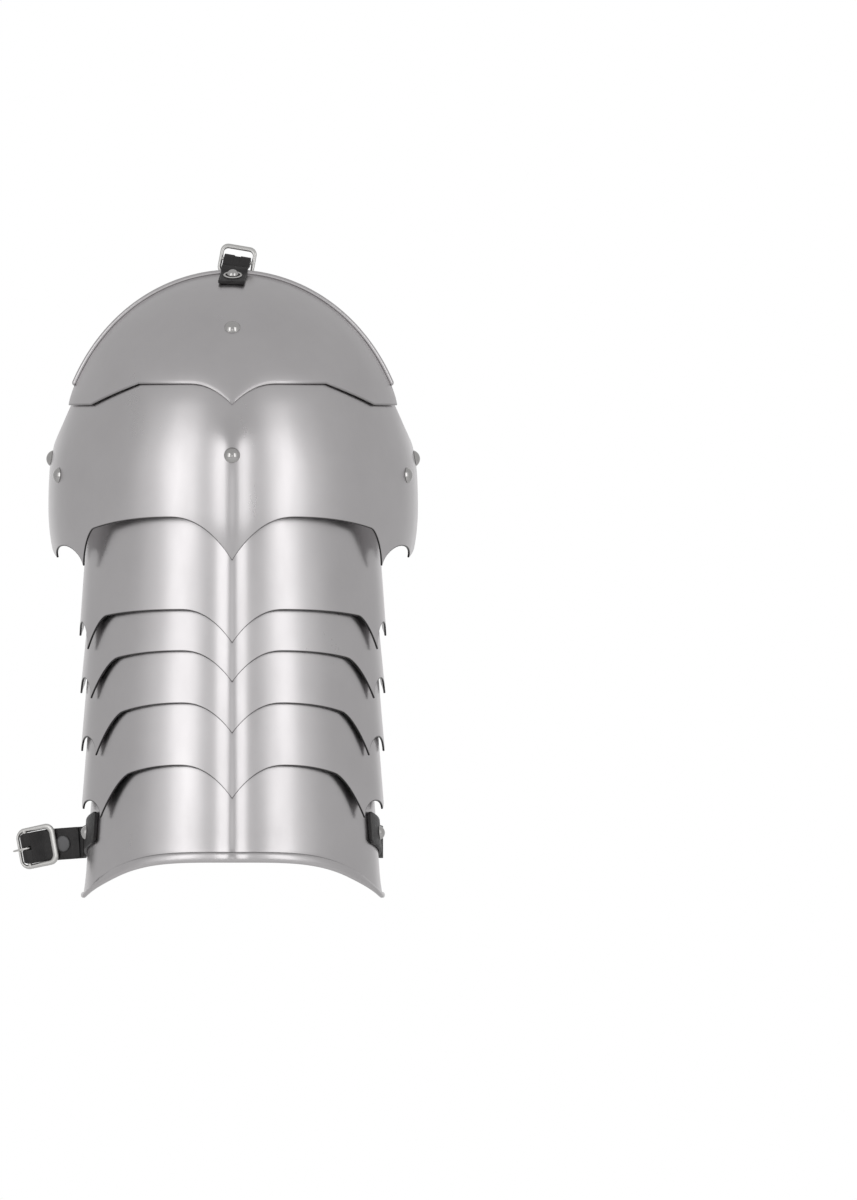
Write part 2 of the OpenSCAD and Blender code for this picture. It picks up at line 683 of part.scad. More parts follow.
// The leather bends edgeways in front of the loop rivet, so that the buckle droops further
bend_start = 16;
bend_l = buckle_reach - 4 - bend_start;
function bend(x) = buckle_droop * smooth((x - bend_start) / bend_l);
function sag(x) = let(u = clamp01((x - bend_start) / bend_l))
    tan(buckle_droop) * (bend_l * (pow(u, 3) - pow(u, 4) / 2) + max(0, x - bend_start - bend_l));
function bent(p, h) = [p[0] + h * sin(bend(p[0])), p[1], h * cos(bend(p[0])) - sag(p[0])];

module at_arm_pin() {
    at_crease(-1, buckle_dir, strap_droop) translate([buckle_reach, pin_out, -sag(buckle_reach)])
    rotate([-90, buckle_droop, 0]) children();
}

buckle_slot = [11.2, 4.2, 12];
module buckle_strap() {
    near = ribbon_side(strap_line, -half_t);
    far = ribbon_side(strap_line, half_t);
    color(black_leather)
    difference() {
        union() {
            at_crease(-1, buckle_dir) cylinder(r = nose_r, h = arm_strap_w, center = true);
            at_crease(-1, buckle_dir, strap_droop)
            skin([for (k = [0 : len(strap_line) - 1])
                [bent(near[k], -half_strap), bent(near[k], half_strap), bent(far[k], half_strap),
                    bent(far[k], -half_strap)]]);
        }
        at_arm_pin() translate([1.7, 0, 1]) cube(buckle_slot, center = true);
        at_crease(-1, buckle_dir, strap_droop) translate([loop_back, 0, 0]) rotate([90, 0, 0])
            cylinder(r = shank_r + shank_fit, h = drill, center = true);
    }
}

// Flat rivet that closes the loop of leather round the pin bar
loop_head_r = 4.6;
loop_head_h = 0.9;
module loop_rivet() {
    front = layer + half_t;
    color(dark_metal)
    at_crease(-1, buckle_dir, strap_droop) translate([loop_back, 0, 0]) rotate([-90, 0, 0]) {
        translate([0, 0, front + 0.03])
            cylinder(r1 = loop_head_r, r2 = loop_head_r - 0.4, h = loop_head_h);
        translate([0, 0, -half_t - 0.1]) cylinder(r = shank_r, h = front + half_t + 0.2);
        translate([0, 0, -half_t - 0.03 - washer_t]) cylinder(r = washer_r, h = washer_t);
    }
}

module arm_buckle() {
    color(nickel) at_arm_pin()
    buckle(arm_buckle_l, arm_buckle_w, arm_ahead, arm_bar, arm_pin, arm_corner_r);
}

arm_wire = 1;
module arm_tongue() {
    color(nickel) at_arm_pin() tongue(arm_ahead - arm_bar, arm_pin, arm_bar, arm_wire);
}

// Billet: curls back round the arm from the right-hand crease
billet_r = 74;
billet_start = 28;
billet_sweep = billet_l / billet_r * 180 / PI;
first_hole = 30;
module arm_strap() {
    mid = -billet_r * [cos(billet_start), sin(billet_start)];
    color(black_leather)
    at_crease(1, 0)
    difference() {
        union() {
            translate([0, 0, -half_strap]) cylinder(r = nose_r, h = arm_strap_w);
            translate([mid[0], mid[1], -half_strap]) rotate([0, 0, billet_start])
                rotate_extrude(angle = billet_sweep, $fn = 96)
                translate([billet_r - half_t, 0]) square([leather_t, arm_strap_w]);
        }
        for (k = [0 : billet_holes - 1]) {
            g = billet_start + (billet_l - first_hole - hole_step * k) / billet_r * 180 / PI;
            translate([mid[0], mid[1], 0]) rotate([0, 0, g]) rotate([0, 90, 0])
                cylinder(r = hole_r, h = billet_r + drill);
        }
    }
}

module buckle_strap_end() strap_end(-1);
module arm_strap_end() strap_end(1);
module buckle_strap_rivet() strap_end_rivet(-1);
module arm_strap_rivet() strap_end_rivet(1);

// Everything is placed with the neck strap's rivet at the origin
hold = outer(0, 0, neck_rivet_z);
module placed() translate(-hold) children();

placed() color(steel) plate(0);  // upper_plate
placed() color(steel) plate(1);  // shoulder_plate
placed() color(steel) plate(2);  // lame_1
placed() color(steel) plate(3);  // lame_2
placed() color(steel) plate(4);  // lame_3
placed() color(steel) plate(5);  // lame_4
placed() color(steel) plate(6);  // lame_5
placed() color(nickel) plate_rivets(0);  // upper_plate_rivet
placed() color(nickel) plate_rivets(1);  // shoulder_plate_rivets
placed() color(nickel) plate_rivets(2);  // lame_1_rivets
placed() color(nickel) plate_rivets(3);  // lame_2_rivets
placed() color(nickel) plate_rivets(4);  // lame_3_rivets
placed() color(nickel) plate_rivets(5);  // lame_4_rivets
placed() color(nickel) plate_rivets(6);  // lame_5_rivets
placed() color(steel) plate_washers(0);  // upper_plate_washer
placed() color(steel) plate_washers(1);  // shoulder_plate_washers
placed() color(steel) plate_washers(2);  // lame_1_washers
placed() color(steel) plate_washers(3);  // lame_2_washers
placed() color(steel) plate_washers(4);  // lame_3_washers
placed() color(steel) plate_washers(5);  // lame_4_washers
placed() color(steel) plate_washers(6);  // lame_5_washers
placed() leather(1, 0, middle_leather_w);  // middle_leather_1
placed() leather(2, 0, middle_leather_w);  // middle_leather_2
placed() leather(3, 0, middle_leather_w);  // middle_leather_3
placed() leather(4, 0, middle_leather_w);  // middle_leather_4
placed() leather(5, 0, middle_leather_w);  // middle_leather_5
placed() leather(6, 0, middle_leather_w);  // middle_leather_6
placed() leather(2, -side_leather_a, side_leather_w);  // left_leather_2
placed() leather(3, -side_leather_a, side_leather_w);  // left_leather_3
placed() leather(4, -side_leather_a, side_leather_w);  // left_leather_4
placed() leather(5, -side_leather_a, side_leather_w);  // left_leather_5
placed() leather(6, -side_leather_a, side_leather_w);  // left_leather_6
placed() leather(2, side_leather_a, side_leather_w);  // right_leather_2
placed() leather(3, side_leather_a, side_leather_w);  // right_leather_3
placed() leather(4, side_leather_a, side_leather_w);  // right_leather_4
placed() leather(5, side_leather_a, side_leather_w);  // right_leather_5
placed() leather(6, side_leather_a, side_leather_w);  // right_leather_6
placed() neck_strap();
placed() neck_strap_rivet();
placed() neck_strap_washers();
placed() neck_buckle();
placed() neck_tongue();
placed() buckle_strap_end();
placed() buckle_strap();
placed() buckle_strap_rivet();
placed() loop_rivet();
placed() arm_buckle();
placed() arm_tongue();
placed() arm_strap_end();
placed() arm_strap();
placed() arm_strap_rivet();
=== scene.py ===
"""Looks for a plate shoulder defence: nested steel plates on leathers, with a neck strap and arm straps.

Shapes repeat the formulas of the part's source in millimetres, and are sampled more finely here.
"""
import math

import bmesh
import bpy
import numpy as np
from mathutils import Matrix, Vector


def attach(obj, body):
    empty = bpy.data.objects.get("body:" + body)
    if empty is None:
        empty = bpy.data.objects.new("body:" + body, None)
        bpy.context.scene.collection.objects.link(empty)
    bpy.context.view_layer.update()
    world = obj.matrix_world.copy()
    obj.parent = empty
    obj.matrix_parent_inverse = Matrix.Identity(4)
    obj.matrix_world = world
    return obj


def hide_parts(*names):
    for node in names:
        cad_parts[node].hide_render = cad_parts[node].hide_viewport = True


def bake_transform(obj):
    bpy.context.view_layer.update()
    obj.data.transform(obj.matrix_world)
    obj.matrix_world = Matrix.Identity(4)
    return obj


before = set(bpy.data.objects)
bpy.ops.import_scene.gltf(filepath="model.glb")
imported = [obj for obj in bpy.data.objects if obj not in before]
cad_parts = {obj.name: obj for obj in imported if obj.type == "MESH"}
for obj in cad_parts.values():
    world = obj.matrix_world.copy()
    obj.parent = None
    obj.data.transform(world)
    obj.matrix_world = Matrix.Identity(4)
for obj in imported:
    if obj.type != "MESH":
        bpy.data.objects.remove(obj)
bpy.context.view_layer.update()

# Shape of the plates, in millimetres and degrees: 0 upper plate, 1 shoulder plate, 2 to 6 the lames
CAP_R, CAP_D, CAP_H, CAP_DROP, CAP_Z, NECK_Y = 111.0, 120.0, 145.0, 119.0, 234.6, 30.0
DOME_POWER = 2.35
SHEET_T, UPPER_GAP, FRONT_GAP, PLATE_GAP, KEEL_H, KEEL_A = 1.2, 0.55, 1.8, 0.6, 2.2, 4.2
ROLL_R, HEM_H, HEM_D, HEM_A = 1.6, 6.2, 2.6, 52
CUSP_Z = [296.4, 202.8, 153.6, 130.2, 99.6, 60.6]
ARCH_RISE = [12.6, 25.8, 19.8, 18.6, 18, 19.8]
POINT_RISE = [0, -3, -3.6, -9.6, -13.2, -11.4]
POINT_A = [56, 57.5, 70, 68, 64, 60.5]
SCALLOP_RISE = [0, 12, 16, 12, 11, 10]
TIP_RISE = [0, 5, 8, 3, 2.5, 5]
ARCH_A = [16, 20, 20, 20, 20, 21, 30]
SHELF_A = [35, 49, 56, 50, 47, 43, 60]
SHELF_DROP = [0, 6.6, 3.6, 4, 5, 4.5, 0]
RIM_Z, RIM_END_Z, RIM_FLARE, FLARE_H = 25.6, 2.6, 0.8, 14.0
WING_R, CORNER_R = 12.0, 4.0
LAME_W = [92.7, 91.8, 91.4, 91.2, 89]
LAME_Y, TOP_CURL, SIDE_TAPER, OVERLAP, END_A = 33.0, 5.0, 6.5, 12.0, 100.0
# Rear top corner of the shoulder plate: angles, and how far the edge has come down there
REAR_CUT = ([0, 60, 66, 70, 74, 76, 80, 84, 92, 100, 110], [0, 0, 9, 17, 25, 31, 42, 48, 54, 59, 66])
BOTTOM = 6
LEATHER_T, LEATHER_GAP, MIDDLE_W, SIDE_W, SIDE_A = 2.0, 0.35, 20.0, 16.0, 76.0
SHANK_R, WASHER_R, WASHER_T, SEAT = 1.5, 4.2, 0.8, 0.45
# Radius and height of rivet heads and of the set tail
BIG_HEAD, LOW_HEAD, STRAP_HEAD, TAIL = (4.8, 3.0), (3.6, 1.0), (4.2, 3.0), (2.6, 1.0)
UPPER_RIVET_Z, SHOULDER_RIVET_Z = 342.6, 265.8
SIDE_RIVETS = [(71.5, 254.2), (88.0, 264.6)]


def sind(a):
    return np.sin(np.radians(a))


def cosd(a):
    return np.cos(np.radians(a))


def mix(a, b, u):
    return a + (b - a) * u


def smooth(u):
    c = np.clip(u, 0, 1)
    return c * c * (3 - 2 * c)


def unit(v):
    return v / np.linalg.norm(v, axis=-1, keepdims=True)


def cap_g(z):
    above = np.clip((z - CAP_Z) / CAP_H, 0, 1) ** DOME_POWER
    below = np.clip((CAP_Z - z) / CAP_DROP, 0, 1) ** 2
    return np.sqrt(np.where(z > CAP_Z, 1 - above, 1 - below))


def cap_level(g):
    return CAP_Z + CAP_H * np.maximum(0, 1 - g * g) ** (1 / DOME_POWER)


SHOULDER_TOP = CUSP_Z[0] + ARCH_RISE[0] + OVERLAP + 4
TOP_Z = [0, SHOULDER_TOP] + [c + r + OVERLAP for c, r in zip(CUSP_Z[1:], ARCH_RISE[1:])]
LOW_Z = CUSP_Z + [RIM_Z]
SIDE_Z = [c + p for c, p in zip(CUSP_Z, POINT_RISE)] + [RIM_END_Z]
TUCK_Z = CAP_Z + 21.4
TUCK_SLOPE = 0.012


def share(i, z, low=LOW_Z):
    return (z - low[i]) / (TOP_Z[i] - low[i])


FRONT_D = [0, 0, CAP_D * float(cap_g(np.float64(CUSP_Z[1]))) - LAME_Y - SHEET_T - FRONT_GAP
           + TOP_CURL * share(2, CUSP_Z[1]) ** 2]
for plate in range(3, 7):
    FRONT_D.append(FRONT_D[-1] - SHEET_T - PLATE_GAP + TOP_CURL * share(plate, CUSP_Z[plate - 1]) ** 2)


def inset(z):
    return smooth((z - TUCK_Z) / (CUSP_Z[0] - TUCK_Z)) * (
        SHEET_T + UPPER_GAP + TUCK_SLOPE * np.maximum(0, z - CUSP_Z[0]))


def half_w(i, z):
    if i < 2:
        return CAP_R * cap_g(z) - (1.6 * inset(z) if i else 0)
    return LAME_W[i - 2] - SIDE_TAPER * share(i, z, SIDE_Z)


def depth(i, z):
    if i < 2:
        return CAP_D * cap_g(z) - (inset(z) if i else 0)
    return FRONT_D[i] - TOP_CURL * np.maximum(0, share(i, z)) ** 2


def keel(i, a, z):
    size = 0 if i == 0 else smooth((CUSP_Z[0] - 6 - z) / 20) if i == 1 else 1
    return size * KEEL_H * np.exp(-(a / KEEL_A) ** 2)


def rim_edge(a):
    return RIM_END_Z + (RIM_Z - RIM_END_Z) * (1 - np.minimum(1, np.abs(sind(a)) / 0.99) ** 4)


def flare(i, a, z):
    if i != BOTTOM:
        return 0 * z
    return RIM_FLARE * np.clip(1 - (z - rim_edge(a)) / FLARE_H, 0, 1) ** 2


def outer(i, a, z, ridge=1):
    """Points on the outer face of plate i."""
    a, z = np.broadcast_arrays(np.asarray(a, float), np.asarray(z, float))
    f = flare(i, a, z)
    back = 0 if i < 2 else LAME_Y
    return np.stack([(half_w(i, z) + f) * sind(a),
                     -back - (depth(i, z) + f + ridge * keel(i, a, z)) * cosd(a), z], -1)


def outward(i, a, z, ridge=1):
    da, dz = 0.4, 0.2
    a, z = np.asarray(a, float), np.asarray(z, float)
    return unit(np.cross(outer(i, a + da, z, ridge) - outer(i, a - da, z, ridge),
                         outer(i, a, z + dz, ridge) - outer(i, a, z - dz, ridge)))


def deep(i, a, z, inward, ridge=1):
    inward = np.asarray(inward, float)
    return outer(i, a, z, ridge) - inward[..., None] * outward(i, a, z, ridge)


def corner_a(i):
    return (WING_R if i == 1 else CORNER_R) / (CAP_R if i == 1 else LAME_W[0]) * 180 / math.pi


def corner(i, a):
    """How far the rounding of a rear corner has moved an edge at one angle."""
    u = min(1, max(0, (abs(a) - END_A) / corner_a(i) + 1))
    return (WING_R if i == 1 else CORNER_R) * (1 - math.sqrt(1 - u * u))


def edge_z(i, a):
    """Height of the lower edge of plate i at one angle."""
    if i == BOTTOM:
        return float(rim_edge(a))
    return cut_z(i, a) + (corner(i, a) if i else 0)


def cut_z(i, a):
    b = abs(a)
    c, rise, p = CUSP_Z[i], ARCH_RISE[i], POINT_A[i]
    low, shelf = c + POINT_RISE[i], c + rise - SHELF_DROP[i]
    if b < ARCH_A[i]:
        return c + rise * (1 - (1 - b / ARCH_A[i]) ** 2.3)
    if b < SHELF_A[i]:
        return c + rise - SHELF_DROP[i] * ((b - ARCH_A[i]) / (SHELF_A[i] - ARCH_A[i])) ** 2
    if b < p:
        return mix(shelf, low, ((b - SHELF_A[i]) / (p - SHELF_A[i])) ** (1.5 if i else 1))
    if b < p + 11:
        return low + SCALLOP_RISE[i] * math.sqrt(1 - (1 - (b - p) / 11) ** 2)
    if b < p + 22:
        return low + TIP_RISE[i] + (SCALLOP_RISE[i] - TIP_RISE[i]) * math.sqrt(1 - ((b - p - 11) / 11) ** 2)
    return low + TIP_RISE[i] + 0.6 * (b - p - 22)


UPPER_END_A = math.degrees(math.acos(NECK_Y / (CAP_D * float(cap_g(np.float64(CUSP_Z[0] + 14))))))


def neck_edge(a):
    return cap_level(NECK_Y / (CAP_D * cosd(a)))


def upper_edge(i, a):
    if i == 0:
        return float(neck_edge(a))
    if i == 1:
        return SHOULDER_TOP - float(np.interp(abs(a), *REAR_CUT)) - corner(i, a)
    return TOP_Z[i] - 4 * float(smooth((abs(a) - 60) / 40)) - corner(i, a)


NECK_RIVET_Z = float(cap_level(np.float64((NECK_Y + 12) / CAP_D)))
HOLD = outer(0, 0, NECK_RIVET_Z)


def plate_angles(i):
    """Angles at which a plate is sampled, densest at the corners of its edge."""
    def run(a, b, n):
        return list(np.linspace(a, b, n, endpoint=False))
    turned = [END_A - u * corner_a(i) for u in (1, 0.8, 0.6, 0.42, 0.28, 0.17, 0.09, 0.035, 0)]
    if i == BOTTOM:
        half = run(0, 20, 14) + run(20, turned[0], 50) + turned
    elif i == 0:
        half = run(0, 16, 14) + run(16, 35, 12) + run(35, 56, 14) + run(56, UPPER_END_A, 12) + [UPPER_END_A]
    else:
        p = POINT_A[i]
        turn = np.linspace(0, 90, 9)
        half = (run(0, ARCH_A[i], 16) + run(ARCH_A[i], SHELF_A[i], 16) + run(SHELF_A[i], p, 10)
                + [p + 11 * (1 - float(cosd(t))) for t in turn[:-1]]
                + [p + 11 + 11 * float(sind(t)) for t in turn[:-1]]
                + run(p + 22, turned[0], 6) + turned)
    return [-a for a in half[:0:-1]] + half


EDGE_R = 0.32
PLATE_ROWS, EDGE_POINTS = 26, 6
FEATHER, FEATHER_H = 0.5, 7.0
# Painted shade on the sheets: 0 is the outer face, 1 the darkest
INSIDE_DARK_AND_GAP_SHADE, EDGE_PAINTED_SHADE, UPPER_EDGE_PAINTED_SHADE, HEM_FOOT_PAINTED_SHADE, ROLL_CREASE_PAINTED_SHADE = 0.5, 1.0, 0.4, 0.9, 0.85


def hem_r(a):
    return mix(HEM_H / 2, HEM_D * 0.65, float(smooth((abs(a) - HEM_A) / 24)))


def rolled(i, a, z, n=22):
    """Ring of the turned hem along the rim, from the outer round to the inner face."""
    high, bulge = hem_r(a), HEM_D / 2
    normal = outward(i, a, z)
    step = 0.5
    ahead = (outer(i, a + step, edge_z(i, min(a + step, END_A)))
             - outer(i, a - step, edge_z(i, max(a - step, -END_A))))
    side = unit(np.cross(ahead, normal))
    side = side if side[2] < 0 else -side
    centre = deep(i, a, z, SHEET_T) + bulge * normal
    start = math.degrees(math.acos((bulge - SHEET_T) / bulge))
    return [centre - high * float(sind(g)) * side - bulge * float(cosd(g)) * normal
            for g in np.linspace(start, 330, n)]


def plain_edge(i, a, z, toward):
    """Softened edge of the sheet, from the outer round to the inner face."""
    normal = outward(i, a, z)
    side = unit(outer(i, a, z + toward * 0.3) - outer(i, a, z))
    thin = FEATHER if i == 0 and toward < 0 else 0.0
    edge = outer(i, a, z)
    c = EDGE_R * 0.3
    steps = [(EDGE_R, thin), (c, c + thin), (0, EDGE_R + thin), (0, SHEET_T - EDGE_R), (c, SHEET_T - c),
             (EDGE_R, SHEET_T)]
    return [edge - back * side - inward * normal for back, inward in steps]


def plate_loop(i, a):
    low, high = edge_z(i, a), upper_edge(i, a)
    foot = (hem_r(a) + 0.4 if i == BOTTOM else 0.9) / max(high - low, 1.8)
    head = 0.9 / max(high - low, 1.8)
    t = np.concatenate([[foot], np.linspace(foot * 1.6, 1 - head * 2.2, PLATE_ROWS), [1 - head]])[::-1]
    if i == 0:
        ga = math.degrees(math.acos(min(1, float(cap_g(np.float64(low))))))
        gb = math.degrees(math.acos(min(1, NECK_Y / (CAP_D * float(cosd(a))))))
        z = cap_level(cosd(mix(ga, gb, t)))
        # The upper plate's lower edge is feathered down on to the shoulder plate
        fade = np.clip(1 - (z - low) / FEATHER_H, 0, 1) ** 2
        down = list(deep(i, a, z, FEATHER * fade))
    else:
        z = mix(low, high, t)
        down = list(outer(i, a, z))
    up = list(deep(i, a, z, SHEET_T))[::-1]
    lower = rolled(i, a, low) if i == BOTTOM else plain_edge(i, a, low, -1)
    return down + lower + up + plain_edge(i, a, high, 1)[::-1]


# Meshes
def new_object(name, points, faces, sharp=50, inner=None):
    mesh = bpy.data.meshes.new(name)
    mesh.from_pydata([tuple((p - HOLD) / 1000) for p in np.asarray(points, float)], [], faces)
    # inner holds the painted shade of each point (darker inside, dark lines under edges and in creases)
    if inner is not None:
        mesh.attributes.new("painted_shade_and_dark_inside", "FLOAT", "POINT").data.foreach_set("value", inner)
    mesh.validate()
    work = bmesh.new()
    work.from_mesh(mesh)
    bmesh.ops.remove_doubles(work, verts=work.verts, dist=1e-6)
    bmesh.ops.recalc_face_normals(work, faces=work.faces)
    work.to_mesh(mesh)
    work.free()
    mesh.update()
    mesh.shade_smooth()
    mesh.set_sharp_from_angle(angle=math.radians(sharp))
    made = bpy.data.objects.new(name, mesh)
    bpy.context.scene.collection.objects.link(made)
    return made


def skin(loops, caps=True):
    """Points and faces of a skin over equally long closed loops."""
    m, n = len(loops[0]), len(loops)
    points = [p for loop in loops for p in loop]
    faces = [(j * m + k, j * m + (k + 1) % m, (j + 1) * m + (k + 1) % m, (j + 1) * m + k)
             for j in range(n - 1) for k in range(m)]
    if caps:
        for start, flip in ((0, True), ((n - 1) * m, False)):
            for k in range(m // 2 - 1):
                quad = (start + k, start + k + 1, start + m - 2 - k, start + m - 1 - k)
                faces.append(quad[::-1] if flip else quad)
    return points, faces


def join(*parts):
    points, faces = [], []
    for p, f in parts:
        faces += [tuple(v + len(points) for v in face) for face in f]
        points += list(p)
    return points, faces


def lathe(profile, place, n=48):
    """Solid turned about +Z of a place from (radius, height) pairs, top first."""
    origin, axis = place
    helper = np.array([0, 0, 1.0]) if abs(axis[2]) < 0.9 else np.array([1.0, 0, 0])
    u = unit(np.cross(helper, axis))
    v = np.cross(axis, u)
    ring = [(math.cos(2 * math.pi * k / n), math.sin(2 * math.pi * k / n)) for k in range(n)]
    loops = [[origin + max(r, 0.02) * (c * u + s * v) + h * axis for c, s in ring] for r, h in profile]
    m = len(profile)
    points = [p for loop in loops for p in loop]
    faces = [(j * n + (k + 1) % n, j * n + k, (j + 1) * n + k, (j + 1) * n + (k + 1) % n)
             for j in range(m - 1) for k in range(n)]
    faces += [tuple(range(n)), tuple((m - 1) * n + k for k in range(n - 1, -1, -1))]
    return points, faces


def dome_profile(r, h, n=10):
    ball = (r * r + h * h) / (2 * h)
    span = math.asin(min(1, r / ball)) if h < r else math.pi - math.asin(r / ball)
    return [(ball * math.sin(span * k / n), h - ball + ball * math.cos(span * k / n)) for k in range(n + 1)]


def rivet(place, head, length):
    """Domed head, shank of a length and set tail."""
    r, h = head
    top = dome_profile(r - 0.12, h - 0.25)
    profile = [(a, b + 0.25) for a, b in top] + [(r, 0.1), (r - 0.06, 0.0), (SHANK_R, 0), (SHANK_R, -length)]
    return lathe(profile + [(a, -length - b) for a, b in reversed(dome_profile(*TAIL))], place)


def washer(place, low):
    """Flat washer with softened edges, its inner face at a height."""
    r, t, hole, c = WASHER_R, WASHER_T, SHANK_R + 0.05, 0.18
    ring = [(hole, low + t), (r - c, low + t), (r - c * 0.3, low + t - c * 0.3), (r, low + t - c), (r, low + c),
            (r - c * 0.3, low + c * 0.3), (r - c, low), (hole, low)]
    return lathe(ring, place)


def at(i, a, z, ridge=1):
    """Place on the outer face of plate i: its origin and its outward axis."""
    return outer(i, a, z, ridge), outward(i, a, z, ridge)


def rivet_places(i):
    z = [UPPER_RIVET_Z, SHOULDER_RIVET_Z][i] if i < 2 else TOP_Z[i] - 8
    sides = [] if i == 0 else SIDE_RIVETS if i == 1 else [(SIDE_A, TOP_Z[i] - 12)]
    return [(0, z)] + [(s * a, height) for a, height in sides for s in (-1, 1)]


def lie(i):
    """Depth at which a leather lies inside a plate."""
    return SHEET_T + LEATHER_GAP + (0.25 if i == 1 else 0)


def leather_depth(i, a):
    return lie(i) + (float(keel(i, 0, rivet_places(i)[0][1])) if a == 0 else 0)


def grip(i, a):
    return leather_depth(i, a) + LEATHER_T + SEAT + WASHER_T


def spline(points, n):
    """Smooth curve of n + 1 rows through rows of points, by chord length."""
    rows = np.asarray(points, float)
    middle = rows[:, rows.shape[1] // 2] if rows.ndim == 3 else rows
    d = np.concatenate([[0], np.cumsum(np.linalg.norm(np.diff(middle, axis=0), axis=1))])
    slope = np.gradient(rows, d, axis=0, edge_order=1)
    out = []
    for s in np.linspace(0, d[-1], n + 1):
        k = min(int(np.searchsorted(d, s, side="right")) - 1, len(d) - 2)
        h = d[k + 1] - d[k]
        u = (s - d[k]) / h
        out.append((2 * u**3 - 3 * u**2 + 1) * rows[k] + (u**3 - 2 * u**2 + u) * h * slope[k]
                   + (3 * u**2 - 2 * u**3) * rows[k + 1] + (u**3 - u**2) * h * slope[k + 1])
    return np.array(out)


def thick(grid, t, soft=0.5):
    """Leather over a grid of points on its middle face: rows along it, columns across it."""
    g = np.asarray(grid, float)
    along = np.gradient(g, axis=0)
    across = np.gradient(g, axis=1)
    normal = unit(np.cross(across, along))
    left, right = unit(across[:, 0]), unit(across[:, -1])
    h = t / 2
    bevel = [(0, h), (soft * 0.7, h - soft * 0.3), (soft, h - soft)]
    bevel += [(x, -y) for x, y in reversed(bevel)]

    def rim(p, n, out):
        return [p - soft * out + x * out + y * n for x, y in bevel]

    loops = []
    for r in range(len(g)):
        top = list(g[r] + h * normal[r])
        low = list(g[r] - h * normal[r])
        loops.append(top[1:-1] + rim(g[r, -1], normal[r, -1], right[r])
                     + low[-2:0:-1] + rim(g[r, 0], -normal[r, 0], -left[r]))
    return skin(loops)


# Materials
def material(name, build):
    made = bpy.data.materials.new(name)
    made.use_nodes = True
    tree = made.node_tree
    build(tree.nodes, tree.links, tree.nodes["Principled BSDF"])
    return made


def noise(nodes, links, scale, detail=4.0, rough=0.5, stretch=(1, 1, 1), kind="ShaderNodeTexNoise"):
    coords = nodes.new("ShaderNodeTexCoord")
    place = nodes.new("ShaderNodeMapping")
    place.inputs["Scale"].default_value = stretch
    links.new(coords.outputs["Object"], place.inputs["Vector"])
    made = nodes.new(kind)
    made.inputs["Scale"].default_value = scale
    if kind == "ShaderNodeTexNoise":
        made.inputs["Detail"].default_value = detail
        made.inputs["Roughness"].default_value = rough
    links.new(place.outputs["Vector"], made.inputs["Vector"])
    return made.outputs["Fac" if kind == "ShaderNodeTexNoise" else "Distance"]


def to_range(nodes, links, value, low, high, src=(0.3, 0.7)):
    made = nodes.new("ShaderNodeMapRange")
    for key, number in zip(("From Min", "From Max", "To Min", "To Max"), (*src, low, high)):
        made.inputs[key].default_value = number
    links.new(value, made.inputs["Value"])
    return made.outputs["Result"]


def ramp(nodes, links, value, dark, light):
    made = nodes.new("ShaderNodeValToRGB")
    made.color_ramp.elements[0].color = (*dark, 1)
    made.color_ramp.elements[1].color = (*light, 1)
    made.color_ramp.elements[0].position = 0.3
    made.color_ramp.elements[1].position = 0.7
    links.new(value, made.inputs["Fac"])
    return made.outputs["Color"]


def bump(nodes, links, shader, layers):
    """Adds (value, strength, distance in metres) layers of bump."""
    last = None
    for value, strength, distance in layers:
        made = nodes.new("ShaderNodeBump")
        made.inputs["Strength"].default_value = strength
        made.inputs["Distance"].default_value = distance
        links.new(value, made.inputs["Height"])
        if last:
            links.new(last, made.inputs["Normal"])
        last = made.outputs["Normal"]
    links.new(last, shader.inputs["Normal"])


def metal(name, dark, light, rough, scratch, wave=0.0, inner=1.0):
    """Satin metal; `inner` is the share of brightness left where the point attribute of painted shade and darker
    inside is 1.
    """
    def build(nodes, links, shader):
        shader.inputs["Metallic"].default_value = 1.0
        tone = ramp(nodes, links, noise(nodes, links, 22, 6, 0.6), dark, light)
        if inner < 1:
            face = nodes.new("ShaderNodeAttribute")
            face.attribute_name = "painted_shade_and_dark_inside"
            scale = nodes.new("ShaderNodeVectorMath")
            scale.operation = "SCALE"
            links.new(tone, scale.inputs[0])
            links.new(to_range(nodes, links, face.outputs["Fac"], 1.0, inner, (0, 1)), scale.inputs["Scale"])
            tone = scale.outputs["Vector"]
        links.new(tone, shader.inputs["Base Color"])
        links.new(to_range(nodes, links, noise(nodes, links, 60, 8, 0.65, (1, 1, 0.25)), *rough),
                  shader.inputs["Roughness"])
        layers = [(noise(nodes, links, 900, 3, 0.6, (0.12, 0.12, 1)), scratch, 0.00002)]
        if wave:
            layers.append((noise(nodes, links, 14, 2, 0.4), wave, 0.002))
        bump(nodes, links, shader, layers)
    return material(name, build)


def leather_material(name, dark, light, rough):
    def build(nodes, links, shader):
        links.new(ramp(nodes, links, noise(nodes, links, 90, 6, 0.6), dark, light), shader.inputs["Base Color"])
        links.new(to_range(nodes, links, noise(nodes, links, 400, 4, 0.6), *rough), shader.inputs["Roughness"])
        shader.inputs["Specular IOR Level"].default_value = 0.35
        bump(nodes, links, shader, [
            (noise(nodes, links, 1500, kind="ShaderNodeTexVoronoi"), 0.35, 0.00025),
            (noise(nodes, links, 160, 6, 0.6), 0.4, 0.0005)])
    return material(name, build)


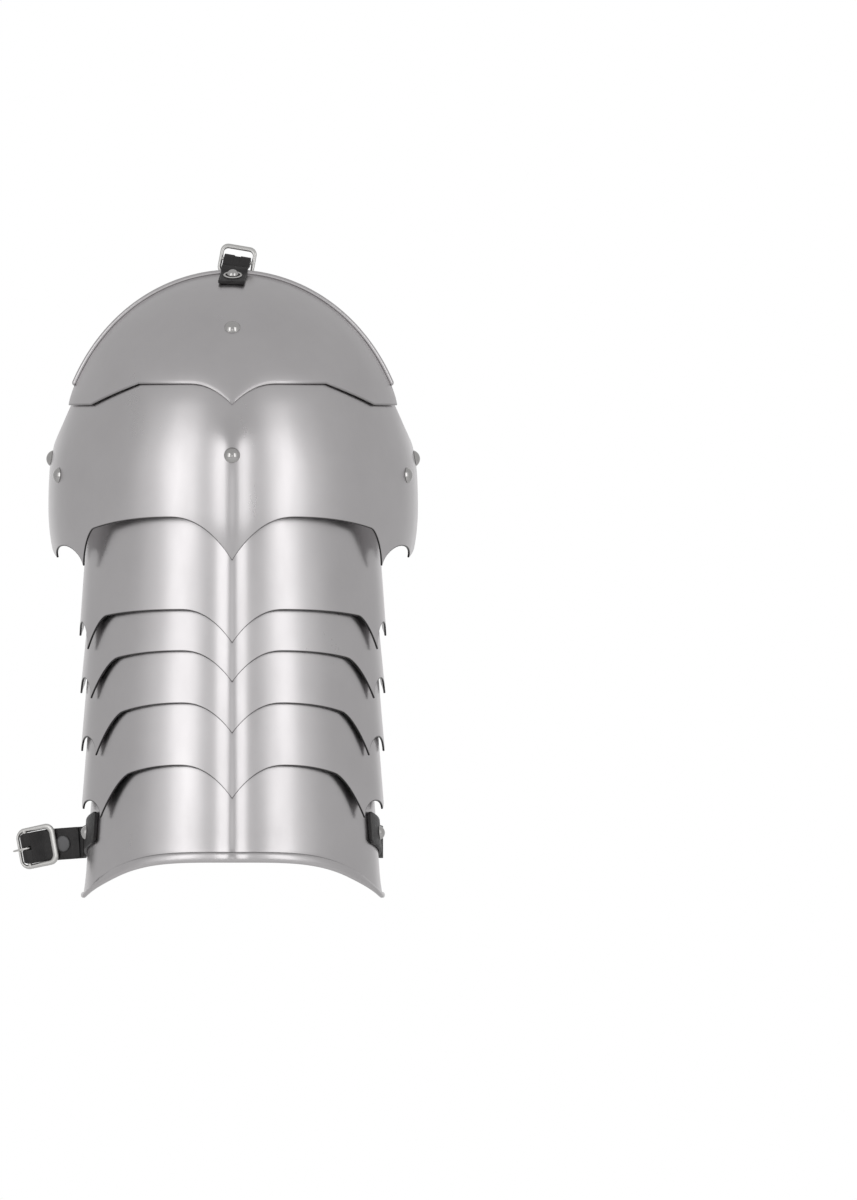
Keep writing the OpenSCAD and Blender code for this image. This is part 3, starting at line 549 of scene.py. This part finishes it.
# The plates' steel is darkened by the painted shade attribute, down to a tenth where it is 1
STEEL = metal("satin_steel_painted_shade", (0.57, 0.553, 0.56), (0.61, 0.593, 0.60), (0.27, 0.34), 0.2, 0.12, inner=0.1)
NICKEL = metal("satin_nickel", (0.62, 0.615, 0.60), (0.68, 0.67, 0.655), (0.3, 0.4), 0.15)
RIVET = metal("rivet_nickel", (0.5, 0.49, 0.485), (0.56, 0.55, 0.54), (0.12, 0.2), 0.1)
PLAIN = metal("plain_steel", (0.5, 0.5, 0.5), (0.56, 0.56, 0.56), (0.3, 0.42), 0.3)
DARK = metal("matt_dark_metal", (0.15, 0.15, 0.153), (0.19, 0.19, 0.195), (0.5, 0.62), 0.2)
LEATHER = leather_material("black_leather", (0.016, 0.015, 0.0155), (0.03, 0.028, 0.0285), (0.38, 0.52))


def piece(name, shape, look, body, nodes, sharp=50, inner=None):
    """New object that stands for CAD nodes, rides on a body and takes the given material."""
    made = new_object(name, *shape, sharp=sharp, inner=inner)
    made.data.materials.append(look)
    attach(made, body)
    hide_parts(*nodes)


ROLL_RING, ROLL_END_X = 20, 94.6


def neck_roll(n=140):
    """Roll along the neck edge, with rounded ends."""
    centres, normals = [], []
    for t in np.linspace(-90, 90, n):
        x = ROLL_END_X * float(sind(t))
        a = math.degrees(math.atan2(x / CAP_R, NECK_Y / CAP_D))
        z = float(cap_level(np.float64(math.hypot(x / CAP_R, NECK_Y / CAP_D))))
        normals.append(outward(0, a, z))
        centres.append(deep(0, a, z, SHEET_T) + ROLL_R * normals[-1])
    centres = np.array(centres)
    ahead = unit(np.gradient(centres, axis=0))
    cap = [(0, 0.15), (0.25, 0.6), (0.7, 0.9)]
    turns = np.linspace(0, 2 * math.pi, ROLL_RING, endpoint=False)
    loops = []
    for k in range(n):
        side = unit(np.cross(ahead[k], normals[k]))
        loops.append([centres[k] + ROLL_R * (math.cos(g) * side + math.sin(g) * normals[k]) for g in turns])
    for at_end, order in ((0, 1), (-1, -1)):
        middle = centres[at_end]
        rings = []
        for back, size in cap:
            push = -order * ROLL_R * (1 - back) * ahead[at_end]
            rings.append([middle + push + size * (np.array(p) - middle) for p in loops[at_end]])
        loops = rings + loops if order == 1 else loops + rings[::-1]
    return skin(loops)


PLATES = ["upper_plate", "shoulder_plate", "lame_1", "lame_2", "lame_3", "lame_4", "lame_5"]
for i, plate in enumerate(PLATES):
    loops = [plate_loop(i, a) for a in plate_angles(i)]
    sheet = skin(loops)
    columns = PLATE_ROWS + 2
    edge = len(loops[0]) - 2 * columns - EDGE_POINTS
    # Painted shade of each point: painted shadow lines on the sheet's lower edge and at the foot of the hem are
    # the darkest
    if i == BOTTOM:
        low_edge_painted_shade = [HEM_FOOT_PAINTED_SHADE] * 2 + [0.0] * (edge - 2)
    else:
        low_edge_painted_shade = [EDGE_PAINTED_SHADE if i else UPPER_EDGE_PAINTED_SHADE] * edge
    # The inside is a little darker, partly a darker inside and partly painted shade that makes the gaps between
    # plates dark; on the upper plate that fades out towards the lower edge
    inside_dark_and_gap_shade = [INSIDE_DARK_AND_GAP_SHADE] * columns
    if i == 0:
        inside_dark_and_gap_shade = list(INSIDE_DARK_AND_GAP_SHADE * np.clip((np.arange(columns) - 3) / 5, 0, 1))
    inner = ([0.0] * columns + low_edge_painted_shade + inside_dark_and_gap_shade + [0.0] * EDGE_POINTS) * len(loops)
    shape = join(sheet, neck_roll()) if i == 0 else sheet
    rest = len(shape[0]) - len(inner)
    # Painted shade in the two creases where the neck roll meets the upper plate
    creases = (ROLL_RING // 2 + 1, ROLL_RING - 1)
    painted_crease_shade = [ROLL_CREASE_PAINTED_SHADE if k % ROLL_RING in creases else 0.0 for k in range(rest)]
    piece(plate + "_sheet", shape, STEEL, plate, [plate], sharp=38, inner=inner + painted_crease_shade)
    one = i == 0
    places = [(a, at(i, a, z)) for a, z in rivet_places(i)]
    head = BIG_HEAD if i < 2 else LOW_HEAD
    piece(plate + "_heads", join(*[rivet(p, head, grip(i, a)) for a, p in places]),
          RIVET, plate, [plate + ("_rivet" if one else "_rivets")])
    piece(plate + "_burrs", join(*[washer(p, -grip(i, a)) for a, p in places]),
          PLAIN, plate, [plate + ("_washer" if one else "_washers")])


# Leathers that carry the plates
def leather_rows(i, a, w):
    """Rows of a leather from the plate above to plate i: plate, middle angle, half angle, height."""
    s = (a > 0) - (a < 0)
    lame_z = TOP_Z[i] - 12 if s else 0
    za = rivet_places(i - 1)[0][1] if s == 0 else SIDE_RIVETS[0][1] if i == 2 else TOP_Z[i - 1] - 12
    zb = rivet_places(i)[0][1] if s == 0 else lame_z
    h = math.degrees(math.asin(w / 2 / (CAP_R if i < 2 else LAME_W[0] - SIDE_TAPER)))
    if s and i == 2:
        # The leather spreads over both rivets of the shoulder plate's rear corner
        (a0, z0), (a1, z1) = SIDE_RIVETS
        first = [(1, s * mix(a0, a1, 0.52), 12, z1 + 5), (1, s * mix(a0, a1, 0.51), 12.4, mix(z1, z0, 0.4)),
                 (1, s * mix(a0, a1, 0.48), 12.4, z0 - 1), (1, s * mix(a0, a1, 0.3), 9, z0 - 6.5)]
    elif i == 1:
        first = [(0, 0, h, za + 4.5), (0, 0, h, za - 4.5)]
    else:
        first = [(i - 1, a if s else 0, h, za - 6.8)]
    return first + [(i, a, h, upper_edge(i, a) + 2.5), (i, a, h, zb + 3), (i, a, h, zb - 3), (i, a, h, zb - 6.5)]


def leather(i, a, w, name):
    ridge = 1 if a else 0
    rows = leather_rows(i, a, w)
    grid = [[deep(p, mid + half * u, z, lie(p) + LEATHER_T / 2, ridge) for u in np.linspace(-1, 1, 9)]
            for p, mid, half, z in rows]
    made = new_object(name + "_strap", *thick(spline(grid, 30), LEATHER_T), sharp=60)
    made.data.materials.append(LEATHER)
    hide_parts(name)
    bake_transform(made)


for i in range(1, 7):
    leather(i, 0, MIDDLE_W, f"middle_leather_{i}")
    if i > 1:
        leather(i, -SIDE_A, SIDE_W, f"left_leather_{i}")
        leather(i, SIDE_A, SIDE_W, f"right_leather_{i}")

# Straps and buckles
NECK_TURN, NECK_LEAN, NECK_BACK, STRAP_LIFT = 6.0, 7.5, 8.0, 0.3
NECK_HALF, NECK_PIN, ARM_PIN, BAR_FIT = 8.0, 1.1, 1.3, 0.06
ARM_Z, ARM_HALF, STRAP_RISE, STRAP_RIVET_A = 34.0, 9.5, 0.2, 84.0
BUCKLE_DIR, STRAP_DROOP, BUCKLE_DROOP = 155.0, 4.0, 7.0
REACH, LOOP_BACK, BEND_START, BEND_L = 36.0, 13.0, 16.0, 16.0
BILLET_R, BILLET_START, BILLET_L, TIP_SWEEP, TIP_HALF = 74.0, 28.0, 170.0, 6.2, 1.2
HOLES, FIRST_HOLE, HOLE_STEP, HOLE_R = 5, 30.0, 18.0, 1.6
LAYER = LEATHER_T + 0.1
SLOT_HALF = 1.05
NECK_SLOT_HALF, COVER_HALF, COVER_T = 1.7, 1.9, 0.4
NOSE_R = 0.95
PIN_OUT = LAYER + LEATHER_T / 2 + 1.65
FOLD_R = ARM_PIN + BAR_FIT + LEATHER_T / 2


def turn_about(axis, deg):
    axis = unit(np.array(axis, float))
    k = np.array([[0, -axis[2], axis[1]], [axis[2], 0, -axis[0]], [-axis[1], axis[0], 0]])
    t = math.radians(deg)
    return np.eye(3) + math.sin(t) * k + (1 - math.cos(t)) * k @ k


def about(axis, deg):
    return turn_about(np.eye(3)["xyz".index(axis)], deg)


def inside(place, points):
    """Points of a frame, given as its turn and its origin."""
    return np.asarray(points, float) @ place[0].T + place[1]


def wire(place, path, half_side, half_high, ring=18, closed=True):
    """Wire along a path in the XY plane of a frame, with its half sizes in that plane and across it."""
    p = np.asarray(path, float)
    ahead = np.roll(p, -1, 0) - np.roll(p, 1, 0)
    if not closed:
        ahead[0], ahead[-1] = p[1] - p[0], p[-1] - p[-2]
    ahead = unit(ahead)
    side = np.stack([ahead[:, 1], -ahead[:, 0]], -1)
    s, h = np.broadcast_to(half_side, len(p)), np.broadcast_to(half_high, len(p))
    loops = []
    for k in range(len(p)):
        turns = np.linspace(0, 2 * math.pi, ring, endpoint=False)
        flat = p[k] + s[k] * np.cos(turns)[:, None] * side[k]
        loops.append(list(inside(place, np.column_stack([flat, h[k] * np.sin(turns)]))))
    return skin(loops + [loops[0]] if closed else loops, caps=not closed)


def round_frame(x0, x1, y1, c, n=10):
    path = []
    for x, y, start in ((x0 - c, y1 - c, 0), (x1 + c, y1 - c, 90), (x1 + c, c - y1, 180), (x0 - c, c - y1, 270)):
        path += [(x + c * float(cosd(start + g)), y + c * float(sind(start + g))) for g in np.linspace(0, 90, n)]
    return np.array(path)


def buckle(place, x0, x1, y1, c, pin, sizes, high):
    """Frame whose bars have their own half widths at the front and at the rear, and its pin bar."""
    path = round_frame(x0, x1, y1, c)
    front, side, rear = sizes
    t = (path[:, 0] - x1) / (x0 - x1)
    half = np.where(t > 0.5, mix(side, front, smooth((t - 0.75) / 0.25)), mix(rear, side, smooth(t / 0.25)))
    bar = [(0, y) for y in np.linspace(-y1, y1, 5)]
    return join(wire(place, path, half, high), wire(place, bar, pin, pin, closed=False))


def tongue(place, pin, shaft, half, flip=1):
    """Tongue whose eye goes round the pin bar and whose shaft tapers to a blunt point."""
    eye = pin + BAR_FIT + half
    path = [(eye * float(cosd(g)), eye * float(sind(g))) for g in np.linspace(392, 96, 26)] + list(shaft)
    path = np.concatenate([path[:26], spline(np.array(path[25:]), 14)[1:]])
    n = len(path)
    far = np.clip((np.arange(n) - 26) / (n - 27), 0, 1)
    width = half * (1 - 0.45 * far) * np.where(np.arange(n) == n - 1, 0.35, 1)
    turned = (place[0] @ np.column_stack([[flip, 0, 0], [0, 0, flip], [0, -1, 0]]), place[1])
    return wire(turned, path, width * 0.9, width * 1.1, closed=False)


def ribbon_side(points, t):
    """Points moved to the left of their path."""
    p = np.asarray(points, float)
    ahead = np.array([p[min(k + 1, len(p) - 1)] - p[max(k - 1, 0)] for k in range(len(p))])
    ahead = unit(ahead)
    return p + t * np.stack([-ahead[:, 1], ahead[:, 0]], -1)


def arc(centre, r, start, end, n):
    return [(centre[0] + r * float(cosd(g)), centre[1] + r * float(sind(g))) for g in np.linspace(start, end, n)]


# Neck strap: lies on the dome, climbs over the roll of the rim and stands up
DOME_N = outward(0, 0, NECK_RIVET_Z)
TURNED = turn_about(DOME_N, -NECK_TURN)
RIM_TOP = np.array([-NECK_Y, float(cap_level(np.float64(NECK_Y / CAP_D)))])
NECK_PIN_AT = RIM_TOP + [5.6, 7.3]
LEAN_Z = RIM_TOP[1] + 4.3


def dome_yz(y, up):
    z = float(cap_level(np.float64(-y / CAP_D)))
    n = outward(0, 0, z)
    return (y + up * n[1], z + up * n[2])


def neck_point(x, y, z):
    share_z = float(smooth((z - RIM_TOP[1] - 1.6) / 3.2))
    t = math.radians(NECK_LEAN * share_z)
    up = z - LEAN_Z
    p = np.array([x * math.cos(t) + up * math.sin(t), y, LEAN_Z - x * math.sin(t) + up * math.cos(t)])
    return TURNED @ (p - HOLD) + HOLD


lean = about("y", NECK_LEAN)
NECK_FRAME = (TURNED @ lean @ about("x", -NECK_BACK) @ about("y", -90) @ about("x", 90),
              TURNED @ (lean @ np.array([0, NECK_PIN_AT[0], NECK_PIN_AT[1] - LEAN_Z])
                        + [0, 0, LEAN_Z] - HOLD) + HOLD)

low_line = [dome_yz(-NECK_Y - y, STRAP_LIFT) for y in (20, 17, 14, 11.5, 9, 6.3)]
low_line += [tuple(RIM_TOP + p) for p in
             ((-3.6, 1), (-1.9, 2.1), (-0.4, 2.5), (1.1, 2.9), (2, 4), (2.4, 4.6), (3.3, 5.9))]
neck_line = np.concatenate([ribbon_side(low_line, LEATHER_T / 2),
                            arc(NECK_PIN_AT, NECK_PIN + BAR_FIT + LEATHER_T / 2, 146, -125, 22)])
neck_line = spline(neck_line, 90)


def neck_rows(line, x0, x1, n):
    return [[neck_point(x, y, z) for x in np.linspace(x0, x1, n)] for y, z in line]


def narrow_ends(rows, shares):
    """Rounds the corners of a strap: single rows keep a share of their width."""
    for k, kept in shares:
        middle = rows[k][4]
        rows[k] = [middle + (p - middle) * kept for p in rows[k]]


split = int(np.argmax(neck_line[:, 1] > NECK_PIN_AT[1] - 3.2))
front_rows = neck_rows(neck_line[:split + 1], -NECK_HALF, NECK_HALF, 9)
narrow_ends(front_rows, ((0, 0.86), (1, 0.955)))
# Thin leather over the tongue's eye closes the slot at the front
cover = np.concatenate([ribbon_side(low_line, LEATHER_T - 0.2),
                        arc(NECK_PIN_AT, NECK_PIN + BAR_FIT + LEATHER_T - 0.2, 146, 122, 6)])
cover = spline(cover, 70)
cover = cover[int(np.argmax(cover[:, 1] > NECK_PIN_AT[1] - 4)):]
neck_back = neck_line[split:]
piece("neck_strap_leather", join(thick(front_rows, LEATHER_T),
                                 thick(neck_rows(cover, -COVER_HALF, COVER_HALF, 4), COVER_T, 0.15),
                                 thick(neck_rows(neck_back, -NECK_HALF, -NECK_SLOT_HALF, 4), LEATHER_T, 0.4),
                                 thick(neck_rows(neck_back, NECK_SLOT_HALF, NECK_HALF, 4), LEATHER_T, 0.4)),
      LEATHER, "neck_strap", ["neck_strap"], sharp=60)

neck_place = at(0, 0, NECK_RIVET_Z)
head = [(a, b + 3.25) for a, b in dome_profile(3.4, 2.9)]
tail = [(a, -2.45 - b) for a, b in reversed(dome_profile(*TAIL))]
shank = [(3.42, 3.1), (3.42, 2.55), (3.3, 2.42), (SHANK_R, 2.42), (SHANK_R, -2.45)]
piece("neck_rivet_head", lathe(head + shank + tail, neck_place),
      RIVET, "upper_plate", ["neck_strap_rivet"])
ring = [(4.3, 2.75), (4.5, 3.05), (4.95, 3.2), (5.35, 3.05), (5.6, 2.75), (5.55, 2.5), (5.35, 2.4), (4.4, 2.4)]
ring_points, ring_faces = lathe(ring + [ring[0]], neck_place, 64)
piece("neck_ring", join((ring_points, ring_faces[:-2]), washer(neck_place, -SHEET_T - SEAT - WASHER_T)),
      NICKEL, "upper_plate", ["neck_strap_washers"])
piece("neck_buckle_frame", buckle(NECK_FRAME, 8.0, -8.2, 9.9, 3.6, NECK_PIN, (1.45, 1.1, 1.2), 1.0),
      NICKEL, "neck_buckle", ["neck_buckle"])
neck_shaft = [(3.2, 2.2), (6.0, 2.15), (8.4, 1.95), (9.7, 1.8)]
piece("neck_tongue_wire", tongue(NECK_FRAME, NECK_PIN, neck_shaft, 0.78, -1),
      NICKEL, "neck_tongue", ["neck_tongue"])

# Arm straps on the bottom lame
CREASE = outer(BOTTOM, END_A, ARM_Z)[:2] + [STRAP_LIFT + 2.4, 7.0]
HINGE = CREASE + [LEATHER_T / 2, 0]


def strap_z(a):
    return ARM_Z + STRAP_RISE * (CREASE[1] - outer(BOTTOM, a, ARM_Z)[1])


STRAP_RIVET_Z = float(strap_z(STRAP_RIVET_A))


def crease_frame(s, turn, droop=0.0):
    return about("z", turn) @ about("y", droop), np.array([s * HINGE[0], HINGE[1], ARM_Z])


def crease_nose(place, half):
    """Upright round that fills the strap's fold at its hinge."""
    return lathe([(NOSE_R, half), (NOSE_R, -half)], (place, np.array([0, 0, 1.0])), 24)


def strap_end(s):
    rows = []
    for a in np.linspace(70, END_A, 19):
        wide = math.sqrt(max(0, 1 - ((72.2 - a) / 2.4) ** 2)) if a < 72.2 else 1
        wide = ARM_HALF - 2.2 * (1 - wide)
        rows.append([deep(BOTTOM, a, float(strap_z(a)) + c * wide, -STRAP_LIFT - LEATHER_T / 2)
                     for c in np.linspace(-1, 1, 9)])
    for x, y in ((-0.7, -3.6), (0.0, -1.65)):
        middle_z = ARM_Z - STRAP_RISE * y
        rows.append([np.array([CREASE[0] + LEATHER_T / 2 + x, CREASE[1] + y, middle_z + c * ARM_HALF])
                     for c in np.linspace(-1, 1, 9)])
    grid = spline(np.array(rows), 44)
    return thick(grid * np.array([s, 1, 1]), LEATHER_T)


def strap_end_rivet(s):
    place = at(BOTTOM, s * STRAP_RIVET_A, STRAP_RIVET_Z)
    base = STRAP_LIFT + LEATHER_T + 0.1
    inner = SHEET_T + SEAT + WASHER_T
    lifted = (place[0] + base * place[1], place[1])
    return join(rivet(lifted, STRAP_HEAD, base + inner), washer(place, -inner))


for s, name in ((-1, "buckle_strap"), (1, "arm_strap")):
    piece(name + "_tab", strap_end(s), LEATHER, "lame_5", [name + "_end"], sharp=60)
    piece(name + "_head", strap_end_rivet(s), RIVET, "lame_5", [name + "_rivet"])


def bend(x):
    return BUCKLE_DROOP * float(smooth((x - BEND_START) / BEND_L))


def sag(x):
    u = min(1, max(0, (x - BEND_START) / BEND_L))
    return math.tan(math.radians(BUCKLE_DROOP)) * (BEND_L * (u**3 - u**4 / 2) + max(0, x - BEND_START - BEND_L))


def bent(x, y, h):
    b = math.radians(bend(x))
    return [x + h * math.sin(b), y, h * math.cos(b) - sag(x)]


LEFT = crease_frame(-1, BUCKLE_DIR, STRAP_DROOP)
ARM_FRAME = (LEFT[0] @ about("y", BUCKLE_DROOP) @ about("x", -90), inside(LEFT, [REACH, PIN_OUT, -sag(REACH)]))
fold_line = [(-0.2, 0), (6, 0), (11.5, 0), (17, 0), (22, 0), (26, 0.2), (30, 1), (33, 1.9)]
fold_line += arc((REACH, PIN_OUT), FOLD_R, -78, 78, 12)
fold_line += [(33, PIN_OUT + FOLD_R - 0.6), (29, 4.6), (25.5, 2.9), (22, LAYER), (17, LAYER), (11.5, LAYER),
              (7, LAYER - 0.1), (3, LAYER - 0.9)]
fold_line = spline(np.array(fold_line, float), 130)
loop = np.nonzero(fold_line[:, 0] > 32.2)[0]
first, last = int(loop[0]), int(loop[-1])


def fold_rows(line, h0, h1, n):
    rows = []
    for x, y in line:
        wide = 1 - 0.04 * float(smooth((x - 20) / 14)) - 0.1 * float(smooth((x - 36) / 2.4))
        rows.append([inside(LEFT, bent(x, y, h * wide)) for h in np.linspace(h0, h1, n)])
    return rows


back_rows = fold_rows(fold_line[last:], -ARM_HALF, ARM_HALF, 9)
narrow_ends(back_rows, ((-1, 0.88), (-2, 0.965)))
nose = crease_nose(LEFT[1], ARM_HALF - 0.1)
round_pin = fold_line[first:last + 1]
piece("buckle_strap_leather", join(thick(fold_rows(fold_line[:first + 1], -ARM_HALF, ARM_HALF, 9), LEATHER_T),
                                   thick(fold_rows(round_pin, -ARM_HALF, -SLOT_HALF, 5), LEATHER_T, 0.4),
                                   thick(fold_rows(round_pin, SLOT_HALF, ARM_HALF, 5), LEATHER_T, 0.4),
                                   thick(back_rows, LEATHER_T), nose),
      LEATHER, "buckle_strap", ["buckle_strap"], sharp=60)

loop_place = (inside(LEFT, [LOOP_BACK, 0, 0]), LEFT[0] @ np.array([0, 1.0, 0]))
face = LAYER + LEATHER_T / 2 + 0.03
cap = [(0, 1.05), (1.8, 1.03), (3.4, 0.94), (4.4, 0.74), (4.85, 0.45), (4.9, 0.2), (4.75, 0.0), (SHANK_R, 0.0)]
back = [(SHANK_R, -1.03), (4.0, -1.03), (4.2, -1.2), (4.2, -1.65), (4.0, -1.83), (0, -1.83)]
piece("loop_rivet_head", lathe([(r, face + h) for r, h in cap] + back, loop_place),
      DARK, "buckle_strap", ["loop_rivet"])
piece("arm_buckle_frame", buckle(ARM_FRAME, 5.1, -17.9, 11.0, 4.6, ARM_PIN, (0.95, 1.45, 2.0), 1.15),
      NICKEL, "arm_buckle", ["arm_buckle"])
piece("arm_tongue_wire", tongue(ARM_FRAME, ARM_PIN, [(2.6, 2.45), (5.1, 2.25), (7.4, 1.9), (8.9, 1.7)], 0.8),
      NICKEL, "arm_tongue", ["arm_tongue"])

# Billet: curls back round the arm from the right-hand crease
RIGHT = crease_frame(1, 0.0)
billet_mid = -BILLET_R * np.array([float(cosd(BILLET_START)), float(sind(BILLET_START))])
SWEEP = math.degrees(BILLET_L / BILLET_R)


def billet_point(along, h):
    g = BILLET_START + along
    return inside(RIGHT, [billet_mid[0] + BILLET_R * float(cosd(g)), billet_mid[1] + BILLET_R * float(sind(g)), h])


rows = []
tip = SWEEP - TIP_SWEEP * (1 - np.sin(np.linspace(0.1, 1.54, 12)))
for along in list(np.linspace(0, SWEEP - TIP_SWEEP, 70)) + list(tip):
    over = max(0.0, (along - SWEEP + TIP_SWEEP) / TIP_SWEEP)
    half = TIP_HALF + (ARM_HALF - TIP_HALF) * math.sqrt(max(0, 1 - over * over))
    rows.append([billet_point(along, c * half) for c in np.linspace(-1, 1, 9)])
billet = new_object("arm_strap_billet", *join(thick(rows, LEATHER_T)), sharp=60)
drills = []
for k in range(HOLES):
    g = BILLET_START + math.degrees((BILLET_L - FIRST_HOLE - HOLE_STEP * k) / BILLET_R)
    out = np.array([float(cosd(g)), float(sind(g)), 0])
    start = billet_point(g - BILLET_START, 0)
    drills.append(lathe([(HOLE_R, 4), (HOLE_R, -4)], (start, out), 32))
drill = new_object("drill", *join(*drills))
cut = billet.modifiers.new("cut", "BOOLEAN")
cut.operation = "DIFFERENCE"
cut.object = drill
bpy.context.view_layer.update()
holed = bpy.data.meshes.new_from_object(billet.evaluated_get(bpy.context.evaluated_depsgraph_get()))
billet.modifiers.clear()
bpy.data.objects.remove(drill)
billet.data = holed
holed.shade_smooth()
holed.set_sharp_from_angle(angle=math.radians(40))
billet.data.materials.clear()
billet.data.materials.append(LEATHER)
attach(billet, "arm_strap")
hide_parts("arm_strap")
nose_piece = new_object("arm_strap_nose", *crease_nose(RIGHT[1], ARM_HALF), sharp=60)
nose_piece.data.materials.append(LEATHER)
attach(nose_piece, "arm_strap")


# Studio
bpy.context.scene.view_settings.view_transform = "Standard"


def plane(name, width, height, place, toward, look):
    made = bpy.data.objects.new(name, bpy.data.meshes.new(name))
    w, h = width / 2, height / 2
    made.data.from_pydata([(-w, -h, 0), (w, -h, 0), (w, h, 0), (-w, h, 0)], [], [(0, 1, 2, 3)])
    made.location = place
    made.rotation_mode = "QUATERNION"
    made.rotation_quaternion = (Vector(toward) - Vector(place)).to_track_quat("Z", "Y")
    made.data.materials.append(look)
    bpy.context.scene.collection.objects.link(made)


# Metres per pixel of the photo, its height in pixels and the camera's sensor width
PX, PHOTO_H, SENSOR = 0.0006, 1200, 36
CENTRE = Vector((0.1173, 0.02, 0.1794 - float(HOLD[2]) / 1000))
CAMERA_AWAY = 20.0
camera = bpy.data.objects.new("camera", bpy.data.cameras.new("camera"))
camera.location = CENTRE - Vector((0, CAMERA_AWAY, 0))
camera.rotation_euler = (math.pi / 2, 0, 0)
camera.data.sensor_width = SENSOR
camera.data.lens = SENSOR * CAMERA_AWAY / (PHOTO_H * PX)
bpy.context.scene.collection.objects.link(camera)
bpy.context.scene.camera = camera


def area(name, place, aim, size, power):
    light = bpy.data.lights.new(name, "AREA")
    light.shape = "RECTANGLE"
    light.size, light.size_y = size
    light.energy = power
    made = bpy.data.objects.new(name, light)
    made.location = place
    made.rotation_euler = (Vector(aim) - Vector(place)).to_track_quat("-Z", "Y").to_euler()
    bpy.context.scene.collection.objects.link(made)


# Softboxes: name, turn from the camera's direction, width, power
MIDDLE = Vector((0, 0, -0.19))
SOFTBOX_AWAY, SOFTBOX_UP, SOFTBOX_H = 2.2, 0.575, 1.85
for name, turn, width, power in (("softbox_left", -35, 0.84, 7.0), ("softbox_right", 36, 0.74, 6.1),
                                 ("side_left", -56, 0.8, 1.25), ("side_right", 55, 0.8, 1.0)):
    turn = math.radians(turn)
    spot = MIDDLE + Vector((math.sin(turn) * SOFTBOX_AWAY, -math.cos(turn) * SOFTBOX_AWAY, SOFTBOX_UP))
    area(name, spot, (MIDDLE.x, MIDDLE.y, spot.z), (width, SOFTBOX_H), power)

world = bpy.data.worlds.new("studio")
bpy.context.scene.world = world
world.use_nodes = True
nodes, links = world.node_tree.nodes, world.node_tree.links
background = nodes["Background"]
path = nodes.new("ShaderNodeLightPath")
coords = nodes.new("ShaderNodeTexCoord")
parts = nodes.new("ShaderNodeSeparateXYZ")
links.new(coords.outputs["Generated"], parts.inputs["Vector"])
behind = to_range(nodes, links, parts.outputs["Y"], 0.56, 1.0, (0.8, 1.0))
front = to_range(nodes, links, parts.outputs["Y"], 1.1, 0.56, (-1.0, -0.965))
around = nodes.new("ShaderNodeMath")
around.operation = "MAXIMUM"
links.new(behind, around.inputs[0])
links.new(front, around.inputs[1])
either = nodes.new("ShaderNodeMath")
either.operation = "MAXIMUM"
links.new(path.outputs["Is Camera Ray"], either.inputs[0])
links.new(around.outputs["Value"], either.inputs[1])
links.new(either.outputs["Value"], background.inputs["Strength"])
background.inputs["Color"].default_value = (1, 1, 1, 1)

floor_look = bpy.data.materials.new("floor")
floor_look.use_nodes = True
floor_shader = floor_look.node_tree.nodes["Principled BSDF"]
floor_shader.inputs["Base Color"].default_value = (0.95, 0.95, 0.95, 1)
floor_shader.inputs["Roughness"].default_value = 0.9
FLOOR_Z, FLOOR_W = -HOLD[2] / 1000 - 0.45, 5.6
plane("floor", FLOOR_W, FLOOR_W, (0, 0, FLOOR_Z), (0, 0, 1), floor_look)
